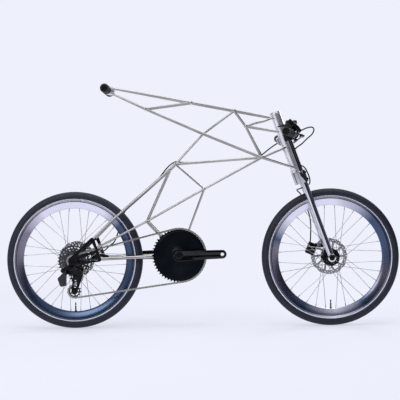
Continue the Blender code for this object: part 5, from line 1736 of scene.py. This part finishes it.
def rim_surface(name, place, tones):
    """A polished rim wall whose colour changes round the wheel, from (turn in degrees, colour) tones:
    painted reflections of light and dark.
    """
    made = surface(name, (0.5, 0.5, 0.5), (0.5, 0.5, 0.5), (0.20, 0.30), 1.0, 4.2, 1100.0, 0.00001)
    tree = made.node_tree
    inputs = {0: object_space(tree), 1: across(place, 0)}
    centred = add_node(tree, "VectorMath", inputs, operation="SUBTRACT").outputs[0]
    parts = add_node(tree, "SeparateXYZ", {0: centred})
    turn = add_node(tree, "Math", {0: parts.outputs["Z"], 1: parts.outputs["X"]}, operation="ARCTAN2")
    share = spread(tree, turn.outputs[0], 0.0, 1.0, -math.pi, math.pi)
    sway = add_node(tree, "Math", {0: noise(tree, 12.0), 1: 0.05, 2: share}, operation="MULTIPLY_ADD")
    ramp = add_node(tree, "ValToRGB", {"Fac": sway.outputs[0]})
    stops = ramp.color_ramp.elements
    while len(stops) < len(tones):
        stops.new(0.5)
    for stop, (angle, tone) in zip(stops, tones):
        stop.position = (angle + 180) / 360 + 0.025
        stop.color = (*[value**2.2 for value in tone], 1.0)
    tree.links.new(ramp.outputs["Color"], tree.nodes["Principled BSDF"].inputs["Base Color"])
    return made


def grey(value, blue):
    """A neutral tone with a little added blue."""
    return (value, value, value + blue)


polished = surface(
    "polished_steel", (0.34, 0.335, 0.33), (0.50, 0.49, 0.485), (0.10, 0.20), 1.0, 9.0, 700.0
)
head_metal = surface(
    "bright_polished_steel", grey(0.76, 0.03), grey(0.90, 0.03), (0.22, 0.34), 1.0, 16.0, 700.0
)
leg_metal = surface("mirror_steel", grey(0.62, 0.03), grey(0.78, 0.04), (0.03, 0.08), 1.0, 7.0, 500.0)
silver = surface("silver_alloy", grey(0.80, 0.03), grey(0.90, 0.03), (0.24, 0.36), 1.0, 40.0, 1200.0)
steel = surface("bright_steel", grey(0.48, 0.02), grey(0.62, 0.02), (0.22, 0.34), 1.0, 40.0, 1500.0)
rotor_steel = surface("rotor_steel", grey(0.24, 0.01), grey(0.40, 0.02), (0.18, 0.30), 1.0, 60.0, 1500.0)
spoke_steel = surface("spoke_steel", grey(0.42, 0.03), grey(0.55, 0.03), (0.25, 0.35), 1.0, 30.0, 1500.0)
sprocket_steel = surface(
    "sprocket_steel", grey(0.05, 0.005), grey(0.12, 0.01), (0.26, 0.40), 1.0, 60.0, 1500.0
)
chain_steel = surface(
    "chain_steel", (0.30, 0.29, 0.275), (0.46, 0.45, 0.43), (0.24, 0.38), 1.0, 80.0, 1500.0
)
black_metal = surface(
    "black_anodised_metal", grey(0.006, 0.002), grey(0.016, 0.003), (0.18, 0.32), 0.85, 30.0, 1500.0
)
crank_metal = surface(
    "black_forged_metal", grey(0.006, 0.002), grey(0.014, 0.003), (0.12, 0.22), 0.9, 24.0, coat=0.5
)
ring_metal = surface(
    "black_ring_metal", (0.005, 0.007, 0.010), (0.011, 0.014, 0.018), (0.30, 0.42), 1.0, 18.0, 1200.0
)
# The rim's near-white outer edge: a painted highlight
rim_lip_painted_highlight = surface("rim_lip_painted_highlight", (0.82, 0.81, 0.86), (0.94, 0.93, 0.97), (0.20, 0.30), 0.3, 20.0)
tyre_rubber = surface(
    "tyre_rubber", (0.002, 0.005, 0.016), (0.006, 0.010, 0.026), (0.50, 0.66), 0.0, 20.0, 1800.0, 0.00010
)
soft_rubber = surface(
    "soft_rubber", grey(0.010, 0.001), grey(0.020, 0.002), (0.62, 0.80), 0.0, 40.0, 1600.0, 0.00012
)
black_plastic = surface(
    "black_plastic", grey(0.012, 0.001), grey(0.021, 0.002), (0.34, 0.46), 0.0, 40.0, 1600.0, 0.00005
)
dark_cloth = surface("dark_cloth", (0.03, 0.036, 0.05), (0.06, 0.07, 0.10), (0.8, 0.9), 0.0)
# The upper fork legs and crown are darker: a painted dark reflection on the mirror chrome
darken_above(leg_metal, 0.50, 0.60, 0.35)

# Painted reflections round the rims: lilac for mirrored light, mauve and steel blue for mirrored dark
reflected_lilac = (0.92, 0.91, 0.97)
reflected_mauve = (0.52, 0.50, 0.56)
reflected_steel_blue = (0.30, 0.35, 0.45)
rear_painted_reflections = (
    (-180, reflected_mauve), (-140, reflected_steel_blue), (36, reflected_steel_blue), (56, reflected_lilac), (122, reflected_lilac), (150, reflected_mauve),
    (180, reflected_mauve),
)
front_painted_reflections = (
    (-180, reflected_mauve), (-118, reflected_steel_blue), (-85, reflected_lilac), (-55, reflected_steel_blue), (-20, reflected_mauve), (0, reflected_steel_blue),
    (40, reflected_steel_blue), (85, reflected_lilac), (135, reflected_lilac), (160, reflected_steel_blue), (180, reflected_mauve),
)

# Hoses

front_leg_pass = leg_point(0.375, -1, 0.002, -(fork_leg_diameter + hose_diameter) / 2 - 0.0006)
front_hose_run = [*front_hose_loop, front_leg_pass]
front_hose_run += [on_steering(*place) for place in front_hose_crown]
hose("front_brake_hose", [*front_hose_run, *front_hose_end])
hose("steering_hose", steering_hose_run, steering_hose_bend)
hose("rear_brake_hose", rear_hose_run)

# Pieces made by a function with the name of the node that they stand for

single_pieces = (
    (head_metal, (head_tube,)),
    (polished, (top_chords, lower_chords, head_braces, long_chords, seat_stays, bottom_bracket_shell)),
    (silver, (crossbar_clamp,)),
    (steel, (steerer,)),
    (leg_metal, (lower_crown,)),
    (black_metal, (rear_crossbar, handlebar, front_caliper, rear_caliper, spindle)),
    (black_metal, (upper_knuckle, lower_knuckle, pulley_cage)),
    (black_plastic, (battery_pack, shift_pod, shift_paddle)),
    (chain_steel, (chain,)),
    (sprocket_steel, (cassette,)),
    (ring_metal, (chainring,)),
)
sided_pieces = (
    (black_metal, (rear_end, bar_clamp, lever_mount, brake_lever)),
    (soft_rubber, (sleeve, grip)),
    (leg_metal, (fork_leg,)),
    (crank_metal, (crank_arm,)),
)
for finish, makers in single_pieces:
    for make in makers:
        dress(make.__name__, make(), finish)
for side, hand in ((-1, "right"), (1, "left")):
    for finish, makers in sided_pieces:
        for make in makers:
            dress(f"{hand}_{make.__name__}", make(side), finish)
    add_on(f"{hand}_pedal_insert", pedal_insert(side), steel, f"{hand}_crank_arm")
    for lift, level in ((-0.013, "lower"), (0.013, "upper")):
        out = side * (leg_side(crown_middle) + 0.0130)
        spot = on_steering(crown_middle + lift, fork_rake + 0.0150, out)
        bolt = bolt_head(spot, (0, side, 0), 0.0040, 0.0024)
        add_on(f"{hand}_crown_bolt_{level}", bolt, black_metal, "lower_crown")

dress("upper_headset", headset(True), head_metal)
dress("lower_headset", headset(False), head_metal)
rear_half_length = end_plate_inner_face + end_plate_thickness + gap
dress("rear_axle", axle(rear_axle_spot, rear_half_length, 0.0090, 0.0022), black_metal)
dress("front_axle", axle(front_axle_spot, fork_end_outer_face + gap, 0.0100, 0.0050), black_metal)
dress("outer_link", swing_link(upper_pivot), black_metal)
dress("inner_link", swing_link(upper_pivot + link_motion * link_spread), black_metal)
dress("guide_pulley", pulley(guide_place, first_pin_turn(4, guide_place)), black_plastic)
dress("tension_pulley", pulley(tension_place, first_pin_turn(2, tension_place)), black_plastic)

# Wheels: name, middle, far and drive flange, ends, rotor, painted reflection tones of the rim

front_half = (front_hub_width / 2, front_hub_width / 2)
rear_half = (rear_hub_split, rear_hub_width / 2)
front_flanges = (front_flange_offset, front_flange_offset)
rear_flanges = (rear_far_flange_offset, rear_drive_flange_offset)
wheels = (
    ("front", front_axle_spot, front_flanges, front_half, front_rotor_offset, front_painted_reflections),
    ("rear", rear_axle_spot, rear_flanges, rear_half, rear_rotor_offset, rear_painted_reflections),
)
for name, place, flanges, half, rotor_offset, tones in wheels:
    hub_node = f"{name}_hub_and_spokes"
    # The rim wall's finish, with painted reflections round the wheel
    wall = rim_surface(f"{name}_rim_wall_painted_reflections", place, tones)
    dress(f"{name}_tyre", tyre(place), tyre_rubber, 50)
    dress(f"{name}_rim", rim(place), (wall, rim_lip_painted_highlight, black_metal))
    add_on(f"{name}_valve", valve(place), black_metal, f"{name}_rim")
    shell = hub_shell(place, *flanges, half, rotor_offset)
    add_on(f"{name}_hub_look", shell, black_metal, hub_node)
    stand_for(hub_node)
    add_on(f"{name}_spokes", spokes(place, *flanges), spoke_steel, hub_node, 60)
    dress(f"{name}_rotor", rotor(place, rotor_offset), rotor_steel)
    add_on(f"{name}_rotor_lock", rotor_lock(place, rotor_offset), black_metal, f"{name}_rotor")

# Camera

camera_place = Vector((0.0761, -3.800, 0.5198))
camera_turns = ((1.228, "Z"), (89.447, "X"), (-0.814, "Z"))

camera_data = bpy.data.cameras.new("camera")
camera_data.lens = 89.65
camera_data.sensor_width = 36.0
camera_data.clip_end = 100.0
camera = bpy.data.objects.new("camera", camera_data)
assembly.objects.link(camera)
camera_matrix = Matrix.Translation(camera_place)
for degrees, axis in camera_turns:
    camera_matrix = camera_matrix @ Matrix.Rotation(math.radians(degrees), 4, axis)
camera.matrix_world = camera_matrix
bpy.context.scene.camera = camera

# Floor, backdrop and light

pale = (0.855, 0.875, 0.965)
floor_colour = (0.82, 0.84, 0.93)


def seen_by(tree, *rays):
    """Whether a ray is of one of two kinds, such as the camera's own."""
    path = add_node(tree, "LightPath").outputs
    return add_node(tree, "Math", {0: path[rays[0]], 1: path[rays[1]]}, operation="MAXIMUM").outputs[0]


def mix_shaders(tree, share, first, second, output):
    mix = add_node(tree, "MixShader", {0: share, 1: first.outputs[0], 2: second.outputs[0]})
    tree.links.new(mix.outputs[0], tree.nodes[output].inputs["Surface"])


def pale_floor():
    """A floor that shows the pale background's colour to the camera, with a soft share of shadow."""
    made, tree = new_tree("pale_floor")
    shader = tree.nodes["Principled BSDF"]
    set_inputs(tree, shader, {"Base Color": (*floor_colour, 1.0), "Roughness": 0.9})
    glow = add_node(tree, "Emission", {"Color": (*pale, 1.0)})
    reach = add_node(tree, "VectorMath", {0: object_space(tree)}, operation="LENGTH").outputs["Value"]
    fade = spread(tree, reach, 0.55, 1.0, 0.5, 2.6, interpolation_type="SMOOTHSTEP")
    seen = seen_by(tree, "Is Camera Ray", "Is Glossy Ray")
    share = add_node(tree, "Math", {0: seen, 1: fade}, operation="MULTIPLY").outputs[0]
    mix_shaders(tree, share, shader, glow, "Material Output")
    return made


def backdrop(name, size, material, matrix=None):
    """A square sheet of the studio, flat in its own frame."""
    work = bmesh.new()
    bmesh.ops.create_grid(work, x_segments=1, y_segments=1, size=size)
    sheet = from_work(work, matrix)
    sheet.name = name
    sheet.data.materials.append(material)
    return sheet


backdrop("floor", 30.0, pale_floor())

# The dark side of the studio, out of the camera's view, which polished metal mirrors as a dark band

screens = (("screen_behind_camera", (0.0, -6.5), 0, 9.0), ("screen_ahead", (3.2, -1.6), 90, 6.0))
screen_height = 2.4
for name, place, degrees, width in screens:
    turn = Matrix.Rotation(math.radians(degrees), 4, "Z")
    size = Matrix.Diagonal((width, screen_height, 1, 1))
    upright = Matrix.Translation((*place, screen_height / 2)) @ turn @ side_view @ size
    backdrop(name, 0.5, dark_cloth, upright).visible_camera = False

world = bpy.data.worlds.new("studio")
bpy.context.scene.world = world
world.use_nodes = True
tree = world.node_tree
background = tree.nodes["Background"]
set_inputs(tree, background, {"Color": (*pale, 1.0), "Strength": 0.55})
shown = add_node(tree, "Background", {"Color": (*pale, 1.0), "Strength": 1.0})
seen = seen_by(tree, "Is Camera Ray", "Is Transmission Ray")
mix_shaders(tree, seen, background, shown, "World Output")

lamps = (
    ("top_light", (0.0, -0.4, 3.2), (0, 0, 0.3), (3.2, 2.4), 60),
    ("front_light", (-1.6, -3.0, 1.9), (0, 0, 0.4), (1.6, 1.6), 30),
    ("back_light", (1.4, 2.6, 1.8), (0, 0, 0.4), (1.6, 1.2), 25),
)
for name, place, target, size, power in lamps:
    data = bpy.data.lights.new(name, "AREA")
    data.shape = "RECTANGLE"
    data.size = size[0]
    data.size_y = size[1]
    data.energy = power
    lamp = bpy.data.objects.new(name, data)
    assembly.objects.link(lamp)
    lamp.matrix_world = aimed(place, Vector(place) - Vector(target))

bpy.context.scene.view_settings.view_transform = "Standard"

bpy.context.view_layer.update()
